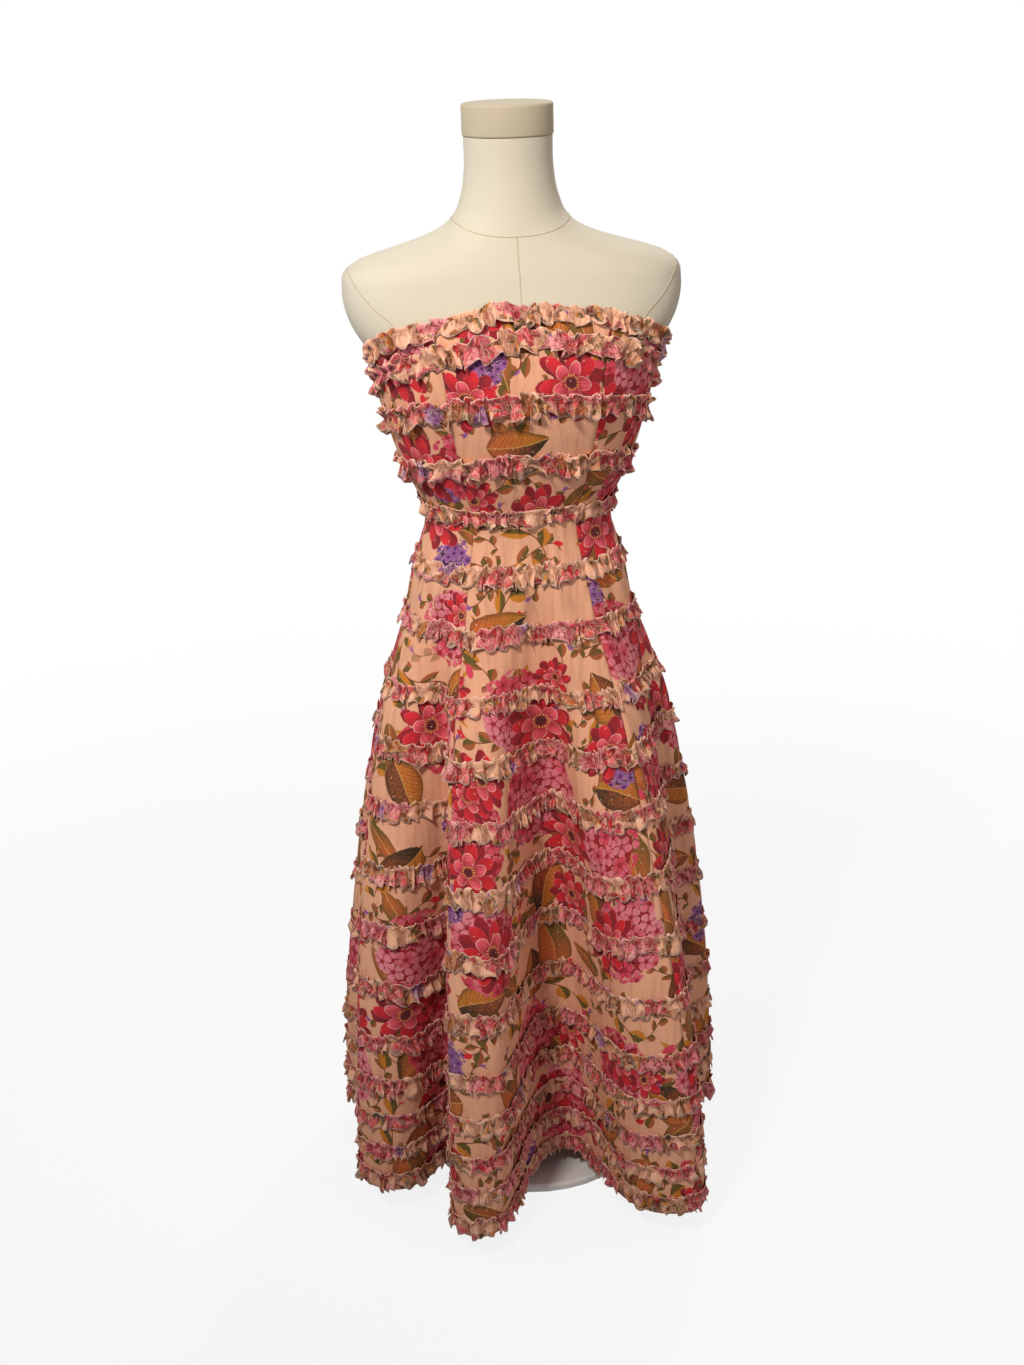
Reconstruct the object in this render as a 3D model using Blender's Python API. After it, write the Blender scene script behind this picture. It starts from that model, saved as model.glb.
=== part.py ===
"""Strapless midi dress with rows of narrow ruffles, on a limbless dress form with its stand.

Metres, +Z up, the front faces -Y. The origin is the floor centre of the round base.
Left and right are the wearer's, so left is +X. A share is a place round the dress, from 0 at
centre front through 0.25 at the wearer's left side to 0.5 at centre back.
"""
import math

import bmesh
import bpy
import numpy as np
from mathutils import Matrix

# Driving sizes
FORM_TOP_Z = 1.347
CAP_HEIGHT = 0.036
CAP_RADIUS = 0.053
WAIST_Z = 0.919
HEM_Z = 0.034
FORM_BOTTOM_Z = 0.700
BASE_RADIUS = 0.150
BASE_HEIGHT = 0.010
BOSS_RADIUS = 0.028
BOSS_HEIGHT = 0.022
POLE_RADIUS = 0.0125
TOP_PLATE_RADIUS = 0.036
TOP_PLATE_HEIGHT = 0.005

# Cloth
WALL = 0.0015
GAP = 0.0003
BODICE_CLEARANCE = 0.0027
WAIST_CLEARANCE = 0.0005
CLEARANCE_RISE = 0.035
RUFFLE_WALL = 0.0010
RUFFLE_WIDTH = 0.020
RUFFLE_LIFT = 0.0004
FRILL_LIFT = 0.0016
FRILL_REACH = 0.0085
FRILL_SWAY = 0.0020
WAVE_DRIFT = 0.13
WAVE_DRIFT_CYCLES = 3
PHASE_PER_ROW = 1.7
OUTLINE_STEPS = 360
NORMAL_STEP = 0.002

# Zip at centre back
ZIP_HALF_WIDTH = 0.004
ZIP_TAPER_TOP = 0.777
ZIP_TAPER_BOTTOM = 0.697
ZIP_END_Z = 0.715
RUFFLE_TO_ZIP = 0.0055
SLIDER_SIZE = (0.005, 0.003, 0.010)
SLIDER_DROP = 0.009

# Dress form: height, half width, front depth, back depth, squareness of the section
BODY_SECTIONS = [
    (1.347, 0.0515, 0.0520, 0.0520, 2.0),
    (1.310, 0.0520, 0.0530, 0.0535, 2.0),
    (1.279, 0.0575, 0.0575, 0.0600, 2.0),
    (1.257, 0.0680, 0.0630, 0.0700, 2.0),
    (1.245, 0.0820, 0.0670, 0.0770, 2.1),
    (1.234, 0.1060, 0.0720, 0.0820, 2.2),
    (1.223, 0.1410, 0.0770, 0.0870, 2.3),
    (1.212, 0.1780, 0.0820, 0.0910, 2.4),
    (1.201, 0.1950, 0.0870, 0.0940, 2.5),
    (1.182, 0.2000, 0.0940, 0.0980, 2.6),
    (1.160, 0.1985, 0.1030, 0.1020, 2.6),
    (1.141, 0.1925, 0.1100, 0.1040, 2.6),
    (1.124, 0.1830, 0.1155, 0.1050, 2.6),
    (1.110, 0.1740, 0.1190, 0.1055, 2.5),
    (1.098, 0.1680, 0.1215, 0.1050, 2.5),
    (1.082, 0.1635, 0.1235, 0.1040, 2.4),
    (1.060, 0.1605, 0.1230, 0.1010, 2.3),
    (1.020, 0.1510, 0.1160, 0.0960, 2.2),
    (0.980, 0.1390, 0.1040, 0.0900, 2.2),
    (0.948, 0.1260, 0.0940, 0.0850, 2.2),
    (0.919, 0.1140, 0.0850, 0.0810, 2.2),
    (0.890, 0.1085, 0.0815, 0.0810, 2.2),
    (0.865, 0.1120, 0.0825, 0.0860, 2.2),
    (0.830, 0.1200, 0.0845, 0.0940, 2.2),
    (0.790, 0.1280, 0.0850, 0.1010, 2.2),
    (0.740, 0.1310, 0.0840, 0.1020, 2.2),
    (0.712, 0.1260, 0.0790, 0.0970, 2.2),
    (0.700, 0.1140, 0.0690, 0.0860, 2.2),
]

# Skirt before its folds: height, half width, front depth, back depth, squareness
SKIRT_SECTIONS = [
    (0.919, 0.1160, 0.0870, 0.0830, 2.2),
    (0.890, 0.1130, 0.0855, 0.0850, 2.2),
    (0.868, 0.1200, 0.0880, 0.0910, 2.2),
    (0.844, 0.1275, 0.0940, 0.0990, 2.2),
    (0.810, 0.1350, 0.0980, 0.1080, 2.2),
    (0.773, 0.1445, 0.1030, 0.1170, 2.2),
    (0.730, 0.1600, 0.1090, 0.1260, 2.2),
    (0.688, 0.1750, 0.1160, 0.1340, 2.2),
    (0.620, 0.1910, 0.1260, 0.1450, 2.2),
    (0.543, 0.2050, 0.1380, 0.1560, 2.1),
    (0.465, 0.2170, 0.1500, 0.1660, 2.1),
    (0.390, 0.2260, 0.1610, 0.1760, 2.1),
    (0.312, 0.2340, 0.1720, 0.1850, 2.1),
    (0.184, 0.2420, 0.1870, 0.2000, 2.1),
    (0.034, 0.2460, 0.2000, 0.2150, 2.1),
]

# Folds of the hem seen from above: angle from the front in degrees (towards the wearer's left)
# and radius where a fold or a hollow starts and ends, the height where it begins, and how
# early it reaches its full depth
FOLDS = [
    ("front hollow", -8, 0.116, 28, 0.112, 0.83, 5.0),
    ("left front fold", 20, 0.270, 34, 0.330, 0.85, 1.2),
    ("left front fold, outer side", 43, 0.288, 58, 0.226, 0.85, 1.5),
    ("left hollow", 70, 0.195, 79, 0.195, 0.78, 3.0),
    ("left side fold", 87, 0.252, 100, 0.254, 0.84, 1.2),
    ("left back hollow", 108, 0.160, 117, 0.155, 0.82, 4.0),
    ("left back fold", 123, 0.280, 137, 0.284, 0.84, 1.2),
    ("back hollow, left", 144, 0.145, 155, 0.135, 0.82, 4.0),
    ("centre back fold", 162, 0.290, 177, 0.280, 0.85, 1.2),
    ("back hollow, right", 187, 0.150, 196, 0.145, 0.82, 4.0),
    ("right back fold", 204, 0.285, 218, 0.280, 0.84, 1.2),
    ("right back hollow", 225, 0.160, 235, 0.165, 0.82, 4.0),
    ("right side fold", 243, 0.268, 258, 0.270, 0.84, 1.2),
    ("right hollow", 269, 0.208, 279, 0.212, 0.78, 3.0),
    ("right front fold", 296, 0.292, 313, 0.260, 0.84, 1.3),
    ("narrow front hollow", 308, 0.165, 322, 0.145, 0.82, 4.0),
    ("centre front fold", 330, 0.298, 346, 0.296, 0.85, 1.2),
]
CORNER_CUTS = 3
HOLLOW_OFFSET = 0.010

# Ruffle rows: name, stitch height at front, side and back, waves
BODICE_ROWS = [
    ("ruffle_top_edge", 1.164, 1.092, 1.076, 9),
    ("ruffle_bodice_1", 1.132, 1.068, 1.050, 9),
    ("ruffle_bodice_2", 1.064, 1.025, 1.012, 9),
    ("ruffle_bodice_3", 0.989, 0.969, 0.964, 8),
]
SKIRT_ROWS = [
    ("ruffle_waist", 0.919, 8),
    ("ruffle_skirt_01", 0.848, 8),
    ("ruffle_skirt_02", 0.777, 9),
    ("ruffle_skirt_03", 0.697, 10),
    ("ruffle_skirt_04", 0.625, 10),
    ("ruffle_skirt_05", 0.551, 11),
    ("ruffle_skirt_06", 0.472, 11),
    ("ruffle_skirt_07", 0.395, 12),
    ("ruffle_skirt_08", 0.319, 12),
    ("ruffle_skirt_09", 0.247, 12),
    ("ruffle_skirt_10", 0.189, 13),
    ("ruffle_skirt_11", 0.139, 13),
    ("ruffle_skirt_12", 0.095, 13),
    ("ruffle_hem", 0.053, 14),
]
SPLIT_SKIRT_ROWS = 3
BELOW_WAIST_Z = 0.890

# Panels: name, share where it starts and ends, divisions
PANELS = [
    ("front", -0.10, 0.10, 14),
    ("side_front_left", 0.10, 0.25, 8),
    ("side_back_left", 0.25, 0.40, 8),
    ("back_left", 0.40, 0.50, 6),
    ("back_right", 0.50, 0.60, 6),
    ("side_back_right", 0.60, 0.75, 8),
    ("side_front_right", 0.75, 0.90, 8),
]

FORM_DIVISIONS = 36
CAP_EDGE = 0.004
BASE_CHAMFER = 0.003

# Materials: colour, roughness, metallic
PRINTED_CLOTH = ("printed_cloth", (0.86, 0.56, 0.42), 0.75, 0.0)
FORM_LINEN = ("form_linen", (0.82, 0.78, 0.70), 0.90, 0.0)
CAP_PAINT = ("cap_paint", (0.72, 0.66, 0.56), 0.60, 0.0)
STAND_PAINT = ("stand_paint", (0.85, 0.84, 0.80), 0.45, 0.0)
ZIP_TAPE = ("zip_tape", (0.78, 0.50, 0.38), 0.70, 0.0)
ZIP_METAL = ("zip_metal", (0.70, 0.55, 0.42), 0.35, 1.0)


def clear_scene():
    for thing in list(bpy.data.objects):
        bpy.data.objects.remove(thing)


def material(finish):
    """Return the material of a finish, made once."""
    name, colour, roughness, metallic = finish
    found = bpy.data.materials.get(name)
    if found:
        return found
    made = bpy.data.materials.new(name)
    made.use_nodes = True
    shader = made.node_tree.nodes["Principled BSDF"]
    shader.inputs["Base Color"].default_value = (*colour, 1.0)
    shader.inputs["Roughness"].default_value = roughness
    shader.inputs["Metallic"].default_value = metallic
    return made


def add_object(name, points, faces, finish, smooth_angle=50):
    """Add a mesh object made of points and faces, smooth but for its sharp edges."""
    mesh = bpy.data.meshes.new(name)
    mesh.from_pydata([tuple(point) for point in points], [], faces)
    mesh.validate()
    mesh.shade_smooth()
    mesh.set_sharp_from_angle(angle=math.radians(smooth_angle))
    mesh.materials.append(material(finish))
    thing = bpy.data.objects.new(name, mesh)
    bpy.context.scene.collection.objects.link(thing)


def table_value(rows, height, column):
    """Read a column of a section table at a height, along a smooth curve through its rows."""
    heights = np.array([row[0] for row in rows][::-1])
    values = np.array([row[column] for row in rows][::-1])
    slopes = np.gradient(values, heights)
    place = int(np.clip(np.searchsorted(heights, height) - 1, 0, len(heights) - 2))
    span = heights[place + 1] - heights[place]
    t = float(np.clip((height - heights[place]) / span, 0.0, 1.0))
    start_part = (2 * t**3 - 3 * t**2 + 1) * values[place] + (t**3 - 2 * t**2 + t) * span * slopes[place]
    end_part = (3 * t**2 - 2 * t**3) * values[place + 1] + (t**3 - t**2) * span * slopes[place + 1]
    return start_part + end_part


def section_outline(rows, height, steps=OUTLINE_STEPS):
    """Return the closed outline of a section, from the front towards the wearer's left."""
    half_width, front, back, squareness = [table_value(rows, height, k) for k in (1, 2, 3, 4)]
    turn = np.linspace(0.0, 2 * math.pi, steps, endpoint=False)
    power = 2.0 / squareness
    across = np.sign(np.sin(turn)) * np.abs(np.sin(turn)) ** power
    along = np.sign(np.cos(turn)) * np.abs(np.cos(turn)) ** power
    return np.column_stack([half_width * across, -np.where(along > 0, front, back) * along])


def outward(outline):
    """Return the outward unit normals of a closed outline that runs from the front to +X."""
    ahead = np.roll(outline, -1, axis=0) - np.roll(outline, 1, axis=0)
    length = np.linalg.norm(ahead, axis=1)
    return np.column_stack([ahead[:, 1], -ahead[:, 0]]) / length[:, None]


def at_shares(outline, shares):
    """Walk round a closed outline and return its columns at shares of its length."""
    closed = np.vstack([outline, outline[:1]])
    steps = np.linalg.norm(np.diff(closed[:, :2], axis=0), axis=1)
    reach = np.concatenate([[0.0], np.cumsum(steps)]) / steps.sum()
    turned = np.mod(shares, 1.0)
    return np.column_stack([np.interp(turned, reach, column) for column in closed.T])


def fold_outline():
    """Return the folded hem seen from above, with where and how early each fold grows."""
    corners = []
    for _, start_angle, start_radius, end_angle, end_radius, top, power in FOLDS:
        for angle, radius in ((start_angle, start_radius), (end_angle, end_radius)):
            turn = math.radians(angle)
            corners.append((radius * math.sin(turn), -radius * math.cos(turn), top, power))
    outline = np.array(corners)
    for _ in range(CORNER_CUTS):
        after = np.roll(outline, -1, axis=0)
        outline = np.stack([0.75 * outline + 0.25 * after, 0.25 * outline + 0.75 * after], axis=1)
        outline = outline.reshape(-1, 4)
    from_front = np.where(outline[:, 1] < 0, np.abs(outline[:, 0] - HOLLOW_OFFSET), 1.0)
    return np.roll(outline, -int(np.argmin(from_front)), axis=0)


FOLDED_HEM = fold_outline()


def skirt_plan(height, shares):
    """Return x, y of the skirt's outer face: a plain section that turns into the folded hem."""
    plain = at_shares(section_outline(SKIRT_SECTIONS, height), shares)
    folded = at_shares(FOLDED_HEM, shares)
    scale = table_value(SKIRT_SECTIONS, height, 1) / SKIRT_SECTIONS[-1][1]
    fall = np.clip((folded[:, 2] - height) / (folded[:, 2] - HEM_Z), 0.0, 1.0)
    growth = (1.0 - (1.0 - fall) ** folded[:, 3])[:, None]
    return plain * (1.0 - growth) + folded[:, :2] * scale * growth


def bodice_plan(height, shares):
    """Return x, y of the bodice's outer face, just clear of the form and closest at the waist."""
    rise = min(1.0, (height - WAIST_Z) / CLEARANCE_RISE)
    clearance = WAIST_CLEARANCE + (BODICE_CLEARANCE - WAIST_CLEARANCE) * rise
    outline = section_outline(BODY_SECTIONS, height)
    return at_shares(outline + outward(outline) * (clearance + WALL), shares)


def cloth_plan(height, shares):
    return bodice_plan(height, shares) if height >= WAIST_Z else skirt_plan(height, shares)


def cloth_point(height, share):
    """Return a point of the cloth's outer face and its outward direction."""
    nearby = np.array([share - NORMAL_STEP, share, share + NORMAL_STEP])
    before, here, after = cloth_plan(height, nearby)
    along = after - before
    normal = np.array([along[1], -along[0], 0.0]) / np.linalg.norm(along)
    return np.array([here[0], here[1], height]), normal


def girth(height):
    """Return the length round the cloth at a height."""
    plan = cloth_plan(height, np.linspace(0.0, 1.0, OUTLINE_STEPS))
    return np.linalg.norm(np.diff(plan, axis=0), axis=1).sum()


def row_height(front, side, back, share):
    """Return the height of a row that runs over the bodice, from its front, side and back ones."""
    facing = math.cos(2 * math.pi * share)
    end = front if facing > 0 else back
    return side + (end - side) * abs(facing)


def bodice_levels():
    """Return the bodice's levels, each a front, side and back height, with one between far rows."""
    waist_row = ("waist", WAIST_Z + GAP / 2, WAIST_Z + GAP / 2, WAIST_Z + GAP / 2, 0)
    rows = BODICE_ROWS + [waist_row]
    levels = []
    for upper, lower in zip(rows, rows[1:]):
        levels.append(upper[1:4])
        if upper is not BODICE_ROWS[0]:
            levels.append(tuple((a + b) / 2 for a, b in zip(upper[1:4], lower[1:4])))
    levels.append(waist_row[1:4])
    return levels


def skirt_levels():
    heights = [WAIST_Z - GAP / 2, BELOW_WAIST_Z] + [row[1] for row in SKIRT_ROWS[1:]] + [HEM_Z]
    return [(height, height, height) for height in heights]


def zip_trim(height):
    """Return how far the back panels end from centre back: room for the zip, then a seam."""
    if height >= ZIP_TAPER_TOP:
        return ZIP_HALF_WIDTH + GAP
    if height <= ZIP_TAPER_BOTTOM:
        return GAP / 2
    fall = (ZIP_TAPER_TOP - height) / (ZIP_TAPER_TOP - ZIP_TAPER_BOTTOM)
    return (ZIP_HALF_WIDTH + GAP) * (1 - fall) + GAP / 2 * fall


def seam_trim(share, height):
    return zip_trim(height) if abs(share - 0.5) < 0.001 else GAP / 2


def wall_solid(name, outer, inner, finish, closed=False):
    """Add a wall between two grids of points, rows from top to bottom, columns towards +share."""
    rows, columns = outer.shape[:2]
    points = np.vstack([outer.reshape(-1, 3), inner.reshape(-1, 3)])
    shift = rows * columns
    faces = []

    def quad(a, b, c, d):
        faces.append((a, b, c))
        faces.append((a, c, d))

    last = columns if closed else columns - 1
    for j in range(last):
        k = (j + 1) % columns
        for i in range(rows - 1):
            top_left, top_right = i * columns + j, i * columns + k
            low_left, low_right = top_left + columns, top_right + columns
            quad(low_left, low_right, top_right, top_left)
            faces.append((low_left + shift, top_right + shift, low_right + shift))
            faces.append((low_left + shift, top_left + shift, top_right + shift))
        quad(j, k, k + shift, j + shift)
        bottom = (rows - 1) * columns
        quad(bottom + k, bottom + j, bottom + j + shift, bottom + k + shift)
    if not closed:
        for i in range(rows - 1):
            start, below = i * columns, (i + 1) * columns
            quad(start, start + shift, below + shift, below)
            end, below_end = start + columns - 1, below + columns - 1
            quad(end, below_end, below_end + shift, end + shift)
    add_object(name, points, faces, finish)


def add_panel(name, levels, start, end, divisions):
    """Add a panel: a wall between two seams, along the levels that it crosses."""
    outer = []
    inner = []
    for level in levels:
        row = []
        backed = []
        for share in np.linspace(start, end, divisions + 1):
            height = row_height(*level, share)
            if share == start:
                share += seam_trim(start, height) / girth(height)
            elif share == end:
                share -= seam_trim(end, height) / girth(height)
            point, normal = cloth_point(height, share)
            row.append(point)
            backed.append(point - normal * WALL)
        outer.append(row)
        inner.append(backed)
    wall_solid(name, np.array(outer), np.array(inner), PRINTED_CLOTH)


def all_stations():
    """Return every panel division round the dress, from centre back to centre back."""
    stations = []
    for _, start, end, divisions in PANELS[4:] + PANELS[:4]:
        turn = -1.0 if start >= 0.5 else 0.0
        stations += list(np.linspace(start + turn, end + turn, divisions + 1)[:-1])
    return stations + [0.5]


def add_ruffle(name, level, next_level, waves, phase, split):
    """Add a ruffle: a wavy strip that hangs from its stitch line, clear of the panels."""
    stations = all_stations()
    if not split:
        stations = stations[:-1]
    upper = []
    lower = []
    for place, share in enumerate(stations):
        height = row_height(*level, share)
        if split and place == 0:
            share += RUFFLE_TO_ZIP / girth(height)
        elif split and place == len(stations) - 1:
            share -= RUFFLE_TO_ZIP / girth(height)
        next_height = row_height(*next_level, share)
        top, normal = cloth_point(height, share)
        bottom = cloth_point(next_height, share)[0]
        drift = WAVE_DRIFT * math.sin(2 * math.pi * WAVE_DRIFT_CYCLES * share + phase)
        turn = 2 * math.pi * (waves * share + drift) + phase
        width = RUFFLE_WIDTH + FRILL_SWAY * math.sin(turn * 0.5 + phase)
        low = top + (bottom - top) * width / (height - next_height)
        reach = FRILL_LIFT + FRILL_REACH * (0.5 - 0.5 * math.cos(turn))
        upper.append((top + normal * (RUFFLE_LIFT + RUFFLE_WALL), top + normal * RUFFLE_LIFT))
        lower.append((low + normal * (reach + RUFFLE_WALL), low + normal * reach))
    outer = np.array([[pair[0] for pair in upper], [pair[0] for pair in lower]])
    inner = np.array([[pair[1] for pair in upper], [pair[1] for pair in lower]])
    wall_solid(name, outer, inner, PRINTED_CLOTH, closed=not split)


def add_dress():
    bodice = bodice_levels()
    skirt = skirt_levels()
    for name, start, end, divisions in PANELS:
        add_panel("bodice_" + name, bodice, start, end, divisions)
        add_panel("skirt_" + name, skirt, start, end, divisions)
    levels = bodice[:-1] + [(WAIST_Z, WAIST_Z, WAIST_Z)] + skirt[1:]
    rows = [(row[0], row[1:4], row[4], True) for row in BODICE_ROWS]
    for place, (name, height, waves) in enumerate(SKIRT_ROWS):
        rows.append((name, (height, height, height), waves, place < SPLIT_SKIRT_ROWS))
    for place, (name, level, waves, split) in enumerate(rows):
        next_level = levels[levels.index(level) + 1]
        add_ruffle(name, level, next_level, waves, PHASE_PER_ROW * place, split)


def add_zip():
    """Add the closed zip between the back panels, and its slider below the top edge."""
    low_heights = (WAIST_Z, BELOW_WAIST_Z, SKIRT_ROWS[1][1], ZIP_TAPER_TOP, ZIP_END_Z)
    back_levels = bodice_levels()[:-1] + [(height, height, height) for height in low_heights]
    outer = []
    inner = []
    for level in back_levels:
        height = row_height(*level, 0.5)
        reach = (zip_trim(height) - GAP) / girth(height)
        pair = [cloth_point(height, 0.5 + step) for step in (-reach, reach)]
        outer.append([point for point, _ in pair])
        inner.append([point - normal * WALL for point, normal in pair])
    wall_solid("zip_tape", np.array(outer), np.array(inner), ZIP_TAPE)
    add_slider(np.mean(outer[0], axis=0), np.mean(outer[1], axis=0))


def add_slider(tape_top, tape_below):
    """Add the zip's slider, flat against the tape just below the top edge."""
    down = (tape_below - tape_top) / np.linalg.norm(tape_below - tape_top)
    across = np.array([-1.0, 0.0, 0.0])
    out = np.cross(across, -down)
    width, depth, tall = SLIDER_SIZE
    centre = tape_top + down * SLIDER_DROP + out * (depth / 2 + GAP)
    bm = bmesh.new()
    bmesh.ops.create_cube(bm, size=1.0)
    bmesh.ops.scale(bm, vec=(width, depth, tall), verts=bm.verts)
    bmesh.ops.bevel(bm, geom=bm.edges[:], offset=depth * 0.25, segments=1, affect="EDGES")
    mesh = bpy.data.meshes.new("zip_slider")
    bm.to_mesh(mesh)
    bm.free()
    mesh.materials.append(material(ZIP_METAL))
    slider = bpy.data.objects.new("zip_slider", mesh)
    axes = Matrix([across, out, -down]).transposed().to_4x4()
    slider.matrix_world = Matrix.Translation(centre) @ axes
    bpy.context.scene.collection.objects.link(slider)


def add_form():
    """Add the torso with its neck and shoulder ends, closed at the neck and below the hip."""
    rings = []
    for row in BODY_SECTIONS:
        plan = section_outline(BODY_SECTIONS, row[0], FORM_DIVISIONS)
        rings.append(np.column_stack([plan, np.full(FORM_DIVISIONS, row[0])]))
    count = FORM_DIVISIONS
    points = np.vstack(rings)
    faces = []
    for i in range(len(rings) - 1):
        for j in range(count):
            k = (j + 1) % count
            faces.append((i * count + j, (i + 1) * count + j, (i + 1) * count + k, i * count + k))
    faces.append(tuple(range(count)))
    last = (len(rings) - 1) * count
    faces.append(tuple(last + j for j in reversed(range(count))))
    add_object("form_torso", points, faces, FORM_LINEN)


def add_turned(name, profile, finish, divisions=36):
    """Add a turned solid round the vertical axis from radius and height pairs, top to bottom."""
    points = []
    for radius, height in profile:
        for j in range(divisions):
            turn = 2 * math.pi * j / divisions
            points.append((radius * math.cos(turn), radius * math.sin(turn), height))
    faces = []
    for i in range(len(profile) - 1):
        for j in range(divisions):
            k = (j + 1) % divisions
            first, below = i * divisions, (i + 1) * divisions
            faces.append((first + j, below + j, below + k, first + k))
    faces.append(tuple(range(divisions)))
    last = (len(profile) - 1) * divisions
    faces.append(tuple(last + j for j in reversed(range(divisions))))
    add_object(name, points, faces, finish, smooth_angle=35)


def add_stand():
    cap_low = FORM_TOP_Z + GAP
    cap_top = cap_low + CAP_HEIGHT
    cap = [
        (CAP_RADIUS - CAP_EDGE, cap_top),
        (CAP_RADIUS, cap_top - CAP_EDGE),
        (CAP_RADIUS, cap_low + CAP_EDGE / 2),
        (CAP_RADIUS - CAP_EDGE / 2, cap_low),
    ]
    add_turned("neck_cap", cap, CAP_PAINT)
    plate_top = FORM_BOTTOM_Z - GAP
    pole = [
        (TOP_PLATE_RADIUS, plate_top),
        (TOP_PLATE_RADIUS, plate_top - TOP_PLATE_HEIGHT),
        (POLE_RADIUS, plate_top - TOP_PLATE_HEIGHT),
        (POLE_RADIUS, BOSS_HEIGHT + GAP),
    ]
    add_turned("stand_pole", pole, STAND_PAINT, divisions=24)
    base = [
        (BOSS_RADIUS - BASE_CHAMFER, BOSS_HEIGHT),
        (BOSS_RADIUS, BOSS_HEIGHT - BASE_CHAMFER),
        (BOSS_RADIUS, BASE_HEIGHT),
        (BASE_RADIUS - BASE_CHAMFER, BASE_HEIGHT),
        (BASE_RADIUS, BASE_HEIGHT - BASE_CHAMFER),
        (BASE_RADIUS, 0.0),
    ]
    add_turned("stand_base", base, STAND_PAINT)


def main():
    clear_scene()
    add_form()
    add_stand()
    add_dress()
    add_zip()


main()
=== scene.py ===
"""The looks of the strapless midi dress with rows of ruffles, on its limbless dress form.

Metres, +Z up, the front faces -Y. Left and right are the wearer's, so left is +X. A share is a
place round the dress, from 0 at centre front through 0.25 at the wearer's left to 0.5 at centre
back. The cloth's form follows the sections and folds of the solids that it replaces.
"""
import math
from collections import namedtuple

import bmesh
import bpy
import numpy as np
from mathutils import Matrix, Vector


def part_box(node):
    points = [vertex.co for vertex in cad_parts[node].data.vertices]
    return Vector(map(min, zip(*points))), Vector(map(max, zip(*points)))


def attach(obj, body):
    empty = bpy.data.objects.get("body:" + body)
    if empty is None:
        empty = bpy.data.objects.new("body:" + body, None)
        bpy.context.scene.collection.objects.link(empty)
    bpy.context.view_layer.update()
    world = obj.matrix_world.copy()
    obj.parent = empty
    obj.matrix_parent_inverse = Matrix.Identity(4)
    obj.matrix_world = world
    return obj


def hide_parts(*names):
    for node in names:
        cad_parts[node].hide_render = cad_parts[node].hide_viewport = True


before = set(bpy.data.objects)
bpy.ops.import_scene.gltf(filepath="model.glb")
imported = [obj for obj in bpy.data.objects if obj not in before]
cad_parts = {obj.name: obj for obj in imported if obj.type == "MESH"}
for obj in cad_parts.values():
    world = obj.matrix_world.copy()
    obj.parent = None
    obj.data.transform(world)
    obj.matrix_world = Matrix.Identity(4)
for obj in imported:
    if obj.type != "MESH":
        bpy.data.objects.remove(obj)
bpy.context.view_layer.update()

# Driving sizes, as in the frame
BUST_Z = 1.06
WAIST_Z = 0.919
HEM_Z = 0.034
WALL = 0.0015
BODICE_CLEARANCE = 0.0027
WAIST_CLEARANCE = 0.0005
CLEARANCE_RISE = 0.035
OUTLINE_STEPS = 720
ZIP_HALF_WIDTH = 0.004
ZIP_TAPER_TOP = 0.777
ZIP_TAPER_BOTTOM = 0.697
ZIP_END_Z = 0.715
RUFFLE_TO_ZIP = 0.0055

# Dress form: height, half width, front depth, back depth, squareness of the section
BODY_SECTIONS = [
    (1.347, 0.0515, 0.0520, 0.0520, 2.0),
    (1.310, 0.0520, 0.0530, 0.0535, 2.0),
    (1.279, 0.0575, 0.0575, 0.0600, 2.0),
    (1.257, 0.0680, 0.0630, 0.0700, 2.0),
    (1.245, 0.0820, 0.0670, 0.0770, 2.1),
    (1.234, 0.1060, 0.0720, 0.0820, 2.2),
    (1.223, 0.1410, 0.0770, 0.0870, 2.3),
    (1.212, 0.1780, 0.0820, 0.0910, 2.4),
    (1.201, 0.1950, 0.0870, 0.0940, 2.5),
    (1.182, 0.2000, 0.0940, 0.0980, 2.6),
    (1.160, 0.1985, 0.1030, 0.1020, 2.6),
    (1.141, 0.1925, 0.1100, 0.1040, 2.6),
    (1.124, 0.1830, 0.1155, 0.1050, 2.6),
    (1.110, 0.1740, 0.1190, 0.1055, 2.5),
    (1.098, 0.1680, 0.1215, 0.1050, 2.5),
    (1.082, 0.1635, 0.1235, 0.1040, 2.4),
    (1.060, 0.1605, 0.1230, 0.1010, 2.3),
    (1.020, 0.1510, 0.1160, 0.0960, 2.2),
    (0.980, 0.1390, 0.1040, 0.0900, 2.2),
    (0.948, 0.1260, 0.0940, 0.0850, 2.2),
    (0.919, 0.1140, 0.0850, 0.0810, 2.2),
    (0.890, 0.1085, 0.0815, 0.0810, 2.2),
    (0.865, 0.1120, 0.0825, 0.0860, 2.2),
    (0.830, 0.1200, 0.0845, 0.0940, 2.2),
    (0.790, 0.1280, 0.0850, 0.1010, 2.2),
    (0.740, 0.1310, 0.0840, 0.1020, 2.2),
    (0.712, 0.1260, 0.0790, 0.0970, 2.2),
    (0.700, 0.1140, 0.0690, 0.0860, 2.2),
]

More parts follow.
